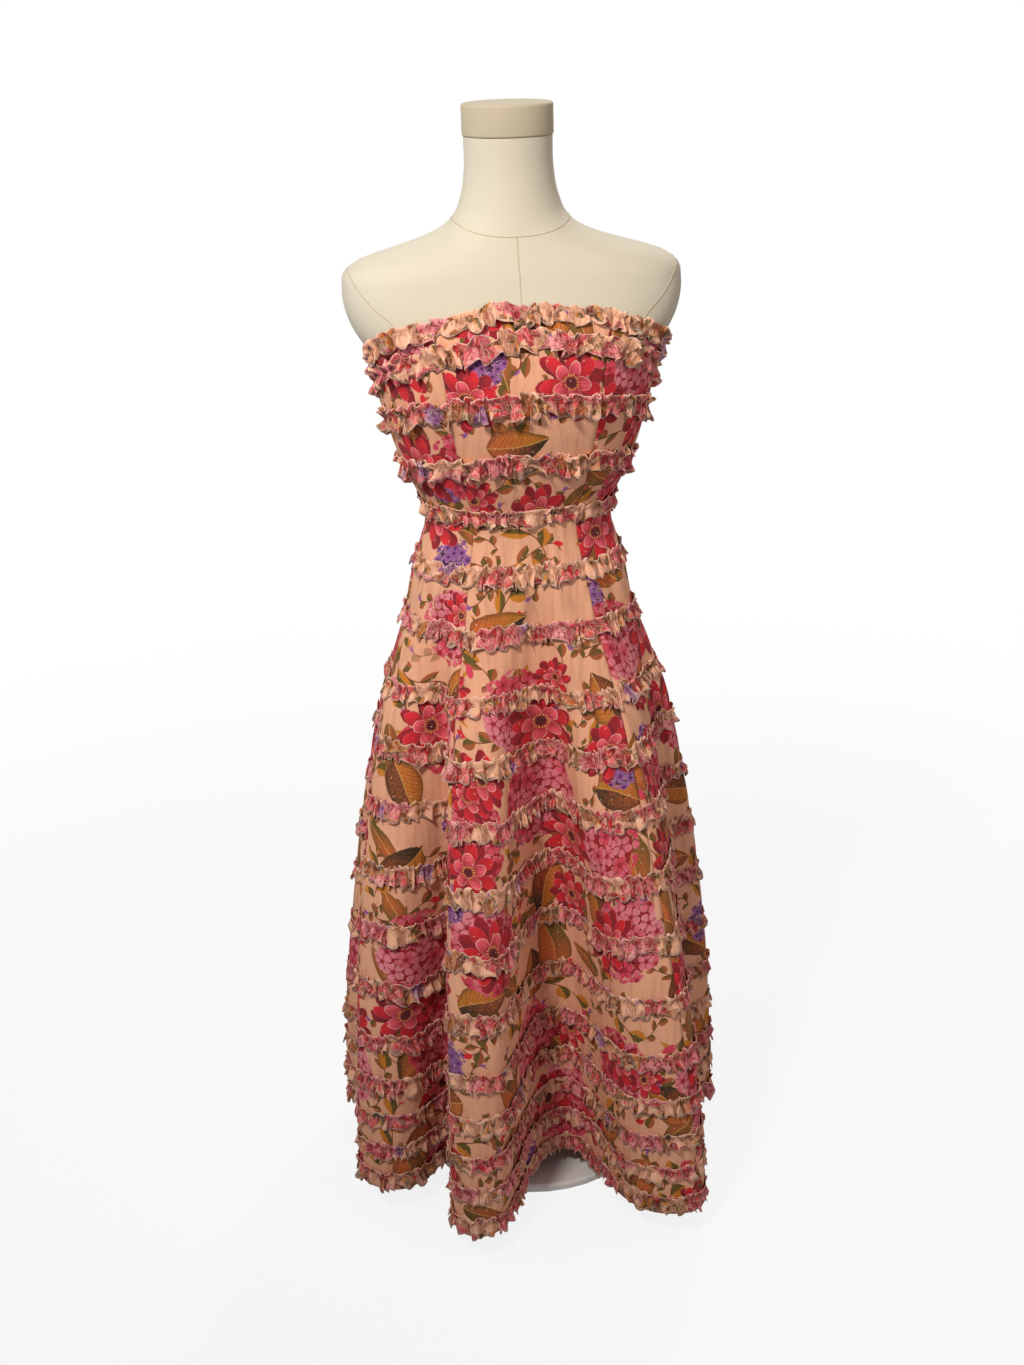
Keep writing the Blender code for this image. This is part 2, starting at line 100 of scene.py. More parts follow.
# Skirt before its folds: height, half width, front depth, back depth, squareness
SKIRT_SECTIONS = [
    (0.919, 0.1160, 0.0870, 0.0830, 2.2),
    (0.890, 0.1130, 0.0855, 0.0850, 2.2),
    (0.868, 0.1200, 0.0880, 0.0910, 2.2),
    (0.844, 0.1275, 0.0940, 0.0990, 2.2),
    (0.810, 0.1350, 0.0980, 0.1080, 2.2),
    (0.773, 0.1445, 0.1030, 0.1170, 2.2),
    (0.730, 0.1600, 0.1090, 0.1260, 2.2),
    (0.688, 0.1750, 0.1160, 0.1340, 2.2),
    (0.620, 0.1910, 0.1260, 0.1450, 2.2),
    (0.543, 0.2050, 0.1380, 0.1560, 2.1),
    (0.465, 0.2170, 0.1500, 0.1660, 2.1),
    (0.390, 0.2260, 0.1610, 0.1760, 2.1),
    (0.312, 0.2340, 0.1720, 0.1850, 2.1),
    (0.184, 0.2420, 0.1870, 0.2000, 2.1),
    (0.034, 0.2460, 0.2000, 0.2150, 2.1),
]

# Folds of the hem seen from above: angle from the front in degrees (towards the wearer's left)
# and radius where a fold or a hollow starts and ends, the height where it begins, and how
# early it reaches its full depth
FOLDS = [
    ("front hollow", -8, 0.116, 28, 0.112, 0.83, 5.0),
    ("left front fold", 20, 0.270, 34, 0.330, 0.85, 1.2),
    ("left front fold, outer side", 43, 0.288, 58, 0.226, 0.85, 1.5),
    ("left hollow", 70, 0.195, 79, 0.195, 0.78, 3.0),
    ("left side fold", 87, 0.252, 100, 0.254, 0.84, 1.2),
    ("left back hollow", 108, 0.160, 117, 0.155, 0.82, 4.0),
    ("left back fold", 123, 0.280, 137, 0.284, 0.84, 1.2),
    ("back hollow, left", 144, 0.145, 155, 0.135, 0.82, 4.0),
    ("centre back fold", 162, 0.290, 177, 0.280, 0.85, 1.2),
    ("back hollow, right", 187, 0.150, 196, 0.145, 0.82, 4.0),
    ("right back fold", 204, 0.285, 218, 0.280, 0.84, 1.2),
    ("right back hollow", 225, 0.160, 235, 0.165, 0.82, 4.0),
    ("right side fold", 243, 0.268, 258, 0.270, 0.84, 1.2),
    ("right hollow", 269, 0.208, 279, 0.212, 0.78, 3.0),
    ("right front fold", 296, 0.292, 313, 0.260, 0.84, 1.3),
    ("narrow front hollow", 308, 0.165, 322, 0.145, 0.82, 4.0),
    ("centre front fold", 330, 0.298, 346, 0.296, 0.85, 1.2),
]
CORNER_CUTS = 4
HOLLOW_OFFSET = 0.010

# Ruffle rows: name, stitch height at front, side and back, header above the stitches, frill below
RUFFLES = [
    ("ruffle_top_edge", 1.164, 1.092, 1.076, 0.010, 0.014),
    ("ruffle_bodice_1", 1.132, 1.068, 1.050, 0.012, 0.017),
    ("ruffle_bodice_2", 1.064, 1.025, 1.012, 0.012, 0.018),
    ("ruffle_bodice_3", 0.989, 0.969, 0.964, 0.012, 0.018),
    ("ruffle_waist", 0.919, 0.919, 0.919, 0.009, 0.014),
]

# Rows of the skirt, level all round: stitch height, header, frill
SKIRT_ROWS = [
    (0.848, 0.010, 0.015),
    (0.777, 0.010, 0.016),
    (0.697, 0.009, 0.015),
    (0.625, 0.010, 0.016),
    (0.551, 0.010, 0.016),
    (0.472, 0.010, 0.016),
    (0.395, 0.010, 0.016),
    (0.319, 0.010, 0.016),
    (0.247, 0.010, 0.016),
    (0.189, 0.009, 0.016),
    (0.139, 0.009, 0.015),
    (0.095, 0.009, 0.015),
]
for number, (height, header, frill) in enumerate(SKIRT_ROWS, start=1):
    RUFFLES.append((f"ruffle_skirt_{number:02d}", height, height, height, header, frill))
RUFFLES.append(("ruffle_hem", 0.053, 0.053, 0.053, 0.009, 0.018))
SPLIT_ROWS = 7
BODICE_ROWS = 4
CLOTH_THICKNESS = 0.0006

# Waves of the ruffles: a wave's length, how far the row wanders up and down, how much the edges
# flare, how rough the waves are, and how far their crests lift and then roll on
Style = namedtuple("Style", "wave wander flare rough lifted rolled")
BODICE_STYLE = Style(wave=0.0220, wander=0.0038, flare=1.0, rough=1.0, lifted=0.50, rolled=0.20)
SKIRT_STYLE = Style(wave=0.0160, wander=0.0030, flare=0.66, rough=0.6, lifted=0.64, rolled=-0.50)
WAVE_COLUMNS = 16
HEADER_STEPS = 2
FRILL_STEPS = 4
LINE_STEPS = 6001
RUFFLE_LIFT = 0.0018
PINCH = 0.0012
LOOP = 0.50

# How unlike the waves are: lowest and highest value of each property, drawn wave by wave
WAVE_LENGTHS = (0.42, 1.7)
WAVE_REACH = (0.75, 1.25)
WAVE_LEAN = (-0.50, 0.45)
WAVE_TILT = (-0.45, 0.45)
WAVE_SWING = (0.30, 1.05)
WAVE_WIDTH = (0.76, 1.16)
WAVE_OFFSET = (-1.4, 1.4)
OVERTONES = (1.37, 1.71, 2.63)

# Panels: name, share where it starts and ends
PANELS = [
    ("front", -0.10, 0.10),
    ("side_front_left", 0.10, 0.25),
    ("side_back_left", 0.25, 0.40),
    ("back_left", 0.40, 0.50),
    ("back_right", 0.50, 0.60),
    ("side_back_right", 0.60, 0.75),
    ("side_front_right", 0.75, 0.90),
]
PANEL_STEP = (0.0072, 0.011)
BODICE_STEP = (0.0050, 0.0060)
SEAM_DEPTH = 0.0011
SEAM_REACH = 0.0035

# Creases of the cloth: share, top and bottom height, width, depth (troughs are
# negative) and how far the lower end leans, as a share
CREASES = [
    # Gathers under the waist
    (0.972, 0.905, 0.780, 0.012, -0.0022, -0.004),
    (0.992, 0.900, 0.760, 0.015, 0.0020, -0.002),
    (0.017, 0.905, 0.740, 0.012, -0.0024, 0.003),
    (0.046, 0.900, 0.700, 0.016, 0.0022, 0.004),
    (0.081, 0.895, 0.760, 0.011, -0.0020, 0.004),
    (0.128, 0.900, 0.690, 0.015, -0.0022, 0.006),
    (0.176, 0.905, 0.720, 0.014, 0.0021, 0.004),
    (0.215, 0.900, 0.650, 0.016, -0.0023, 0.003),
    (0.278, 0.895, 0.700, 0.014, 0.0022, 0.003),
    (0.322, 0.905, 0.640, 0.016, -0.0022, 0.004),
    (0.366, 0.895, 0.720, 0.014, 0.0020, 0.002),
    (0.446, 0.890, 0.730, 0.013, -0.0020, -0.003),
    (0.557, 0.895, 0.700, 0.014, -0.0022, 0.003),
    (0.634, 0.905, 0.690, 0.015, 0.0022, -0.003),
    (0.682, 0.895, 0.650, 0.014, -0.0022, -0.003),
    (0.728, 0.900, 0.720, 0.015, 0.0020, -0.003),
    (0.785, 0.905, 0.680, 0.014, -0.0022, -0.004),
    (0.826, 0.895, 0.730, 0.013, 0.0021, -0.005),
    (0.868, 0.905, 0.670, 0.013, -0.0022, -0.005),
    (0.932, 0.900, 0.720, 0.013, 0.0020, -0.004),
    # Second to fourth tier, in front
    (0.010, 0.780, 0.560, 0.018, -0.0028, 0.003),
    (0.060, 0.770, 0.540, 0.017, -0.0026, 0.004),
    (0.965, 0.760, 0.500, 0.018, -0.0026, -0.004),
    (0.035, 0.700, 0.420, 0.018, 0.0026, 0.002),
    # Long troughs and ridges down the folds
    (0.118, 0.700, 0.330, 0.020, -0.0030, 0.004),
    (0.158, 0.640, 0.300, 0.022, 0.0028, 0.003),
    (0.196, 0.620, 0.240, 0.020, -0.0030, 0.002),
    (0.262, 0.680, 0.280, 0.022, -0.0028, 0.002),
    (0.305, 0.600, 0.200, 0.020, 0.0028, 0.002),
    (0.385, 0.660, 0.250, 0.022, -0.0030, 0.002),
    (0.468, 0.560, 0.180, 0.020, 0.0028, 0.001),
    (0.532, 0.620, 0.230, 0.022, -0.0028, 0.002),
    (0.612, 0.640, 0.210, 0.020, 0.0028, -0.002),
    (0.662, 0.600, 0.260, 0.022, -0.0030, -0.002),
    (0.744, 0.650, 0.240, 0.020, -0.0028, -0.002),
    (0.806, 0.600, 0.220, 0.022, 0.0028, -0.003),
    (0.846, 0.560, 0.180, 0.020, -0.0030, -0.003),
    (0.912, 0.520, 0.200, 0.018, 0.0026, -0.003),
    # Low on the folds
    (0.951, 0.480, 0.120, 0.018, -0.0026, -0.002),
    (0.986, 0.430, 0.090, 0.018, -0.0028, 0.002),
    (0.052, 0.440, 0.100, 0.018, -0.0026, 0.002),
    (0.090, 0.380, 0.080, 0.018, 0.0028, 0.003),
    (0.136, 0.340, 0.070, 0.020, -0.0028, 0.002),
    (0.232, 0.330, 0.070, 0.020, 0.0028, 0.002),
    (0.342, 0.320, 0.070, 0.020, -0.0028, 0.002),
    (0.424, 0.300, 0.070, 0.020, 0.0028, 0.001),
    (0.578, 0.320, 0.070, 0.020, -0.0028, 0.001),
    (0.704, 0.300, 0.070, 0.020, 0.0028, -0.001),
    (0.772, 0.330, 0.070, 0.020, -0.0028, -0.002),
    (0.874, 0.300, 0.070, 0.018, 0.0028, -0.002),
]
CREASE_REACH = 2.6
TIER_SWELL = (0.0018, 0.0015)
BODICE_SWELL = (0.0006, 0.0004)
RIPPLE_LENGTH = 0.026
RIPPLE_FADE = 0.022

GRID_STEP = 0.002
GRID_COLUMNS = 1800
GRID_LOW = 0.018
GRID_HIGH = 1.190

# Camera: the photograph's place and angle
CAMERA_PLACE = (-0.230, -2.188, 1.529)
CAMERA_YAW = math.radians(6.0)
CAMERA_PITCH = math.radians(21.27)
CAMERA_ROLL = math.radians(1.6)
FOCAL_PIXELS = 1845
PHOTO_HEIGHT = 1365
SENSOR = 36.0
CENTRE_OFFSET_PIXELS = 11

# Seams of the form: across and height of the armhole seam at the front, from the shoulder down
ARMHOLE_SEAM = [
    (0.1930, 1.2030),
    (0.1870, 1.1930),
    (0.1780, 1.1800),
    (0.1640, 1.1650),
    (0.1500, 1.1540),
    (0.1400, 1.1420),
    (0.1330, 1.1260),
    (0.1290, 1.1060),
]
FORM_RINGS = 110
FORM_COLUMNS = 144
SEAM_STEPS = 43
NECK_SEAM_HIGH = 1.256
NECK_SEAM_DIP = 0.015
SEAM_RADIUS = 0.0007

# Zip: half width of the tape and its depth under the cloth's face, its teeth, and its pull tab
TAPE_HALF_WIDTH = 0.0055
TAPE_DEPTH = 0.0008
TOOTH_PITCH = 0.0022
TOOTH_SIZE = (0.0017, 0.0007, 0.0012)
PULL_SIZE = (0.0044, 0.0009, 0.0150)

# Lights: place, target, size, power, colour, and the spread of a spot in degrees (a disk has none)
LIGHTS = {
    "key": ((-0.95, -1.50, 2.60), (0.0, -0.05, 1.15), 0.20, 206.0, (1.0, 0.955, 0.89), 56),
    "fill": ((1.7, -1.5, 1.8), (0.0, 0.0, 1.0), 1.2, 11.0, (1.0, 0.89, 0.78), None),
    "rim": ((-1.6, 0.2, 1.7), (0.0, 0.0, 1.1), 1.0, 6.0, (0.84, 0.95, 1.0), None),
    "back": ((0.9, 1.9, 2.4), (0.0, 0.05, 1.05), 0.3, 110.0, (1.0, 0.96, 0.91), 72),
}
AMBIENT = 0.23
AMBIENT_TINT = (1.0, 0.94, 0.98, 1.0)
WHITE = (1.0, 1.0, 1.0, 1.0)
FLOOR_RADIUS = 12.0
FLOOR_ALPHA = 0.15
FLOOR_FADE = 1.3

SEED = 11


def table_value(rows, height, column):
    """Read a column of a section table at a height, along a smooth curve through its rows."""
    heights = np.array([row[0] for row in rows][::-1])
    values = np.array([row[column] for row in rows][::-1])
    slopes = np.gradient(values, heights)
    place = int(np.clip(np.searchsorted(heights, height) - 1, 0, len(heights) - 2))
    span = heights[place + 1] - heights[place]
    t = float(np.clip((height - heights[place]) / span, 0.0, 1.0))
    start_part = (2 * t**3 - 3 * t**2 + 1) * values[place] + (t**3 - 2 * t**2 + t) * span * slopes[place]
    end_part = (3 * t**2 - 2 * t**3) * values[place + 1] + (t**3 - t**2) * span * slopes[place + 1]
    return start_part + end_part


def section_outline(rows, height, steps=OUTLINE_STEPS):
    """Return the closed outline of a section, from the front towards the wearer's left."""
    half_width, front, back, squareness = [table_value(rows, height, k) for k in (1, 2, 3, 4)]
    turn = np.linspace(0.0, 2 * math.pi, steps, endpoint=False)
    power = 2.0 / squareness
    across = np.sign(np.sin(turn)) * np.abs(np.sin(turn)) ** power
    along = np.sign(np.cos(turn)) * np.abs(np.cos(turn)) ** power
    return np.column_stack([half_width * across, -np.where(along > 0, front, back) * along])


def outward(outline):
    """Return the outward unit normals of a closed outline that runs from the front to +X."""
    ahead = np.roll(outline, -1, axis=0) - np.roll(outline, 1, axis=0)
    length = np.linalg.norm(ahead, axis=1)
    return np.column_stack([ahead[:, 1], -ahead[:, 0]]) / length[:, None]


def at_shares(outline, shares):
    """Walk round a closed outline and return its columns at shares of its length."""
    closed = np.vstack([outline, outline[:1]])
    steps = np.linalg.norm(np.diff(closed[:, :2], axis=0), axis=1)
    reach = np.concatenate([[0.0], np.cumsum(steps)]) / steps.sum()
    turned = np.mod(shares, 1.0)
    return np.column_stack([np.interp(turned, reach, column) for column in closed.T])


def fold_outline():
    """Return the folded hem seen from above, with where and how early each fold grows."""
    corners = []
    for _, start_angle, start_radius, end_angle, end_radius, top, power in FOLDS:
        for angle, radius in ((start_angle, start_radius), (end_angle, end_radius)):
            turn = math.radians(angle)
            corners.append((radius * math.sin(turn), -radius * math.cos(turn), top, power))
    outline = np.array(corners)
    for _ in range(CORNER_CUTS):
        after = np.roll(outline, -1, axis=0)
        outline = np.stack([0.75 * outline + 0.25 * after, 0.25 * outline + 0.75 * after], axis=1)
        outline = outline.reshape(-1, 4)
    from_front = np.where(outline[:, 1] < 0, np.abs(outline[:, 0] - HOLLOW_OFFSET), 1.0)
    return np.roll(outline, -int(np.argmin(from_front)), axis=0)


FOLDED_HEM = fold_outline()


def skirt_plan(height, shares):
    """Return x, y of the skirt's outer face: a plain section that turns into the folded hem."""
    plain = at_shares(section_outline(SKIRT_SECTIONS, height), shares)
    folded = at_shares(FOLDED_HEM, shares)
    scale = table_value(SKIRT_SECTIONS, height, 1) / SKIRT_SECTIONS[-1][1]
    fall = np.clip((folded[:, 2] - height) / (folded[:, 2] - HEM_Z), 0.0, 1.0)
    growth = (1.0 - (1.0 - fall) ** folded[:, 3])[:, None]
    return plain * (1.0 - growth) + folded[:, :2] * scale * growth


def bodice_plan(height, shares):
    """Return x, y of the bodice's outer face, just clear of the form and closest at the waist."""
    rise = min(1.0, (height - WAIST_Z) / CLEARANCE_RISE)
    clearance = WAIST_CLEARANCE + (BODICE_CLEARANCE - WAIST_CLEARANCE) * rise
    outline = section_outline(BODY_SECTIONS, height)
    return at_shares(outline + outward(outline) * (clearance + WALL), shares)


def row_height(front, side, back, shares):
    """Return the heights of a row that runs over the bodice, from its front, side and back ones."""
    facing = np.cos(2 * math.pi * np.asarray(shares))
    end = np.where(facing > 0, front, back)
    return side + (end - side) * np.abs(facing)


class Cloth:
    """The dress's outer face as a fine grid of points, with its outward directions."""

    def __init__(self):
        self.heights = np.arange(GRID_LOW, GRID_HIGH, GRID_STEP)
        self.shares = np.arange(GRID_COLUMNS) / GRID_COLUMNS
        plans = []
        for height in self.heights:
            plan = bodice_plan if height >= WAIST_Z else skirt_plan
            plans.append(plan(height, self.shares))
        plans = np.array(plans)
        tall = np.broadcast_to(self.heights[:, None], plans.shape[:2])
        self.points = np.dstack([plans, tall])
        steps = np.linalg.norm(np.roll(plans, -1, axis=1) - plans, axis=2)
        self.girths = steps.sum(axis=1)
        self.normals = self.facing()
        self.points = self.points + self.normals * self.relief()[..., None]
        self.normals = self.facing()

    def facing(self):
        along = np.roll(self.points, -1, axis=1) - np.roll(self.points, 1, axis=1)
        up = np.gradient(self.points, axis=0)
        normal = np.cross(along, up)
        return normal / np.linalg.norm(normal, axis=2, keepdims=True)

    def relief(self):
        """Return how far the cloth stands out: tiers, ripples under the rows, creases and seams."""
        height = self.heights[:, None]
        share = self.shares[None, :]
        turn = 2 * math.pi
        girth = self.girths[:, None]
        total = np.zeros((len(self.heights), len(self.shares)))
        levels = [row[1:4] for row in RUFFLES]
        for place, (upper, lower) in enumerate(zip(levels, levels[1:])):
            top = row_height(*upper, share)
            bottom = row_height(*lower, share)
            t = np.clip((top - height) / (top - bottom), 0.0, 1.0)
            puff, ripple = BODICE_SWELL if place < BODICE_ROWS else TIER_SWELL
            belly = np.sin(math.pi * t)
            total += puff * belly**0.7
            inside = (t > 0) & (t < 1)
            under_row = np.exp(-np.abs(height - top) / RIPPLE_FADE) * np.minimum(1.0, t * 12)
            near = inside * (under_row + 0.4 * belly)
            waves = np.round(self.girth((top + bottom) / 2) / RIPPLE_LENGTH)
            sway = 2.1 * np.sin(turn * 5 * share + place) + 1.6 * np.sin(turn * 11 * share - place)
            swell = 0.6 + 0.4 * np.sin(turn * 7 * share + 1.7 * place)
            total += ripple * near * swell * np.sin(turn * waves * share + sway + 2.1 * place)
        for place, top, bottom, width, depth, lean in CREASES:
            t = np.clip((top - height) / (top - bottom), 0.0, 1.0)
            away = np.mod(share - place - lean * t + 0.5, 1.0) - 0.5
            across = np.clip(away * girth / width, -CREASE_REACH, CREASE_REACH)
            total += depth * np.sin(math.pi * t) ** 0.8 * np.exp(-across**2)
        for _, start, _ in PANELS:
            away = np.mod(share - start + 0.5, 1.0) - 0.5
            total -= SEAM_DEPTH * np.exp(-((away * girth / SEAM_REACH) ** 2))
        return total

    def read(self, grid, height, share):
        """Read a grid at heights and shares, between its points."""
        row = np.clip((height - self.heights[0]) / GRID_STEP, 0, len(self.heights) - 1.001)
        column = np.mod(share, 1.0) * GRID_COLUMNS
        i = row.astype(int)
        j = column.astype(int) % GRID_COLUMNS
        k = (j + 1) % GRID_COLUMNS
        down = (row - i)[..., None]
        along = (column - np.floor(column))[..., None]
        low = grid[i, j] * (1 - along) + grid[i, k] * along
        high = grid[i + 1, j] * (1 - along) + grid[i + 1, k] * along
        return low * (1 - down) + high * down

    def at(self, height, share):
        """Return the points and outward directions at heights and shares."""
        height, share = np.broadcast_arrays(np.asarray(height, float), np.asarray(share, float))
        point = self.read(self.points, height, share)
        point[..., 2] += np.minimum(height - self.heights[0], 0.0)
        normal = self.read(self.normals, height, share)
        return point, normal / np.linalg.norm(normal, axis=-1, keepdims=True)

    def girth(self, height):
        return np.interp(height, self.heights, self.girths)


def linear(red, green, blue):
    """Return a colour given in 0 to 255 steps as the shaders want it."""
    colour = []
    for part in (red, green, blue):
        part /= 255
        colour.append(part / 12.92 if part <= 0.04045 else ((part + 0.055) / 1.055) ** 2.4)
    return (*colour, 1.0)


# Colours of the print, then the colours of the painted shade in the cloth's creases and hollows
PEACH = linear(244, 182, 146)
PEACH_DEEP = linear(216, 146, 110)
PALE = linear(255, 220, 198)
PINK_PALE = linear(234, 134, 148)
PINK = linear(216, 60, 88)
CRIMSON = linear(160, 10, 36)
RED = linear(220, 24, 42)
ROSE = linear(244, 96, 112)
WINE = linear(84, 6, 22)
GOLD = linear(204, 124, 28)
AMBER = linear(216, 106, 52)
OLIVE = linear(98, 80, 24)
DARK_GREEN = linear(34, 34, 14)
TWIG = linear(120, 56, 24)
BROWN_LEAF = linear(168, 86, 44)
VIOLET = linear(150, 84, 154)
DARK_VIOLET = linear(66, 22, 78)
STAMEN = linear(226, 172, 90)
# Painted shade in the creases, hollows and crumple lines of the cloth
CREVICE_SHADE = linear(98, 32, 18)
CREASE_SHADE_BROWN = linear(136, 54, 32)

# Motifs of the print, from the lowest to the uppermost: name, size of a cell, shift, chance to
# be painted in a cell, and for twigs the colours of their buds and leaves
TWIGS = [
    ("small twigs", 0.066, 0.31, 0.72, VIOLET, BROWN_LEAF),
    ("twigs", 0.092, 2.57, 0.86, RED, BROWN_LEAF),
    ("long twigs", 0.124, 1.73, 0.92, PINK, GOLD),
]

# Leaves: as above to the chance, then length, width, light and dark colour
LEAVES = [
    ("small leaves", 0.094, 2.11, 0.60, 0.058, 0.024, BROWN_LEAF, OLIVE),
    ("gold leaves", 0.118, 3.37, 0.66, 0.074, 0.042, GOLD, DARK_GREEN),
    ("amber leaves", 0.143, 8.13, 0.60, 0.086, 0.044, AMBER, OLIVE),
]

# Round heads: as above to the chance, then radius, size of a floret, pale, middle and deep colour
HEADS = [
    ("violet heads", 0.180, 4.19, 0.50, 0.025, 0.012, VIOLET, VIOLET, DARK_VIOLET),
    ("pink heads", 0.150, 5.53, 0.72, 0.050, 0.021, PINK_PALE, PINK, CRIMSON),
]

# Open flowers: as above to the chance, then radius
FLOWERS = [
    ("small flowers", 0.170, 9.37, 0.70, 0.030),
    ("flowers", 0.128, 6.91, 0.74, 0.042),
]

# Rings of petals, from the outer one: count, radius as a share of the flower's, notch between the
# petals, twist, and the colours of the base, the tip and the rim
PETAL_RINGS = [
    (8, 1.06, 0.42, 0.9, WINE, CRIMSON, PINK),
    (7, 0.92, 0.34, 0.0, CRIMSON, RED, ROSE),
    (5, 0.58, 0.40, 0.5, CRIMSON, ROSE, PALE),
]
STRIPE_PITCH = 0.0021
RUFFLE_PLENTY = 1.3
RUFFLE_PRINT_SCALE = 1.45
# Strength of the painted shade in the ruffles' hollows
HOLLOW_SHADE_STRENGTH = 0.54


class Field:
    """A number that varies over a surface, made of shader nodes, for plain arithmetic."""

    def __init__(self, tree, socket):
        self.tree = tree
        self.socket = socket

    def __add__(self, other):
        return work("ADD", self, other)

    def __sub__(self, other):
        return work("SUBTRACT", self, other)

    def __rsub__(self, other):
        return work("SUBTRACT", other, self)

    def __mul__(self, other):
        return work("MULTIPLY", self, other)

    def __truediv__(self, other):
        return work("DIVIDE", self, other)

    def __pow__(self, other):
        return work("POWER", self, other)

    def __abs__(self):
        return work("ABSOLUTE", self)


def link(tree, value, socket):
    """Give a node's input a field, a socket, or a plain value."""
    if isinstance(value, Field):
        value = value.socket
    if isinstance(value, bpy.types.NodeSocket):
        tree.links.new(value, socket)
    else:
        socket.default_value = value


def work(operation, *values):
    tree = next(value.tree for value in values if isinstance(value, Field))
    node = tree.nodes.new("ShaderNodeMath")
    node.operation = operation
    for place, value in enumerate(values):
        link(tree, value, node.inputs[place])
    return Field(tree, node.outputs[0])


def soft_step(value, blur=0.0005):
    """Return 0 where the value is under zero and 1 where it is over, with a soft change."""
    tree = value.tree
    node = tree.nodes.new("ShaderNodeMapRange")
    node.interpolation_type = "SMOOTHSTEP"
    node.inputs["From Min"].default_value = -blur
    node.inputs["From Max"].default_value = blur
    link(tree, value, node.inputs["Value"])
    return Field(tree, node.outputs["Result"])


def blend(factor, first, second):
    """Mix two colours by a field."""
    tree = factor.tree
    node = tree.nodes.new("ShaderNodeMix")
    node.data_type = "RGBA"
    link(tree, factor, node.inputs[0])
    link(tree, first, node.inputs[6])
    link(tree, second, node.inputs[7])
    return node.outputs[2]


def vector(x, y, z=0.0):
    tree = x.tree
    node = tree.nodes.new("ShaderNodeCombineXYZ")
    link(tree, x, node.inputs[0])
    link(tree, y, node.inputs[1])
    link(tree, z, node.inputs[2])
    return node.outputs[0]


def parts(tree, socket, kind="XYZ"):
    node = tree.nodes.new("ShaderNodeSeparateXYZ" if kind == "XYZ" else "ShaderNodeSeparateColor")
    tree.links.new(socket, node.inputs[0])
    return [Field(tree, output) for output in node.outputs[:3]]


def noise(x, y, scale, detail=2.0, z=0.0):
    tree = x.tree
    node = tree.nodes.new("ShaderNodeTexNoise")
    node.inputs["Scale"].default_value = scale
    node.inputs["Detail"].default_value = detail
    tree.links.new(vector(x, y, z), node.inputs["Vector"])
    return Field(tree, node.outputs[0])


def stripes(place, pitch):
    """Return soft stripes, from 0 to 1, at a pitch along a field."""
    return work("SINE", place * (2 * math.pi / pitch)) * 0.5 + 0.5


def scatter(x, y, cell, randomness, shift, turn=2 * math.pi):
    """Place one motif in each cell, and return its own x and y and three random numbers."""
    tree = x.tree
    x = x + shift
    y = y + shift * 0.7
    node = tree.nodes.new("ShaderNodeTexVoronoi")
    node.voronoi_dimensions = "2D"
    node.inputs["Scale"].default_value = 1 / cell
    node.inputs["Randomness"].default_value = randomness
    tree.links.new(vector(x, y), node.inputs["Vector"])
    centre_x, centre_y, _ = parts(tree, node.outputs["Position"])
    chances = parts(tree, node.outputs["Color"], "colour")
    from_x = x - centre_x
    from_y = y - centre_y
    if not turn:
        return from_x, from_y, chances
    angle = chances[0] * turn
    cosine = work("COSINE", angle)
    sine = work("SINE", angle)
    return from_x * cosine + from_y * sine, from_y * cosine - from_x * sine, chances


def chosen(chances, chance):
    """Return 1 in the cells where a motif is painted."""
    return soft_step(chance - chances[2], 0.001)


def distance(x, y):
    return work("SQRT", x * x + y * y)


def paint_stroke(x, y):
    """Return the fine unevenness of a brush, above and below zero."""
    return noise(x, y, 260.0, 3.0) - 0.5


def leaves(colour, x, y, grit, cell, shift, chance, length, width, light, dark):
    """Paint scattered leaves with a midrib, side veins and one half darker."""
    along, across, chances = scatter(x, y, cell, 0.45, shift)
    bend = across + along * along * (chances[1] - 0.5) * (14.0 * width / length)
    t = along / (length / 2)
    base = work("MAXIMUM", t + 1.0, 0.0) ** 0.62
    half = (1.0 - t) * base * (width / 2) + grit * 0.0014
    present = chosen(chances, chance)
    mask = soft_step(half - abs(bend)) * present
    side = soft_step(bend + grit * 0.003, 0.0014)
    body = blend(side, dark, light)
    tip = blend(soft_step(t * (chances[1] * 2.0 - 1.0) + grit * 1.6 - 0.15, 0.8), body, AMBER)
    comb = work("FRACT", (along - abs(bend) * 0.9 + abs(bend) ** 2.0 * 9.0) / (length * 0.075))
    vein = soft_step(0.10 - abs(comb - 0.5) + grit * 0.3, 0.12)
    veined = blend(vein * 0.42, tip, dark)
    grain = soft_step(noise(along * 0.6, bend * 5.0, 320.0, 2.0) - 0.55, 0.12)
    veined = blend(grain * 0.35, veined, dark)
    rim = soft_step(0.0042 - (half - abs(bend)) + grit * 0.006, 0.004)
    veined = blend(rim * 0.55, veined, dark)
    rib = soft_step(0.0006 - abs(bend), 0.0004)
    ribbed = blend(rib * 0.7, veined, STAMEN)
    return blend(mask, colour, ribbed)


def petals(along, across, count, radius, notch, twist=0.0, point=0.6):
    """Return how far inside a ring of petals a place is, with its part of a petal and its reach."""
    reach = distance(along, across)
    angle = work("ARCTAN2", across, along)
    middle = abs(work("COSINE", angle * (count / 2) + twist))
    outline = (middle**point * (1.0 - notch) + notch) * radius
    return outline - reach, middle, reach, angle


def petal_ring(colour, along, across, present, grit, count, radius, notch, twist, base, tip, rim):
    """Paint one ring of pointed petals, darker at the heart and at one side, with a light rim."""
    inside, middle, reach, angle = petals(along, across, count, radius, notch, twist, 0.8)
    streak = work("SINE", angle * (count * 7.0) + grit * 9.0 + 4.5)
    lit = soft_step(reach / radius - 0.52 + grit * 0.8 + streak * 0.10, 0.36)
    tone = blend(lit, base, tip)
    side = work("SINE", angle * count + twist * 2.0)
    shaded = blend(soft_step(side - 0.25, 0.7) * (1.0 - middle * 0.6) * 0.8, tone, base)
    edge = soft_step(0.0011 - inside, 0.0007) * 0.55
    return blend(soft_step(inside) * present, colour, blend(edge, shaded, rim))


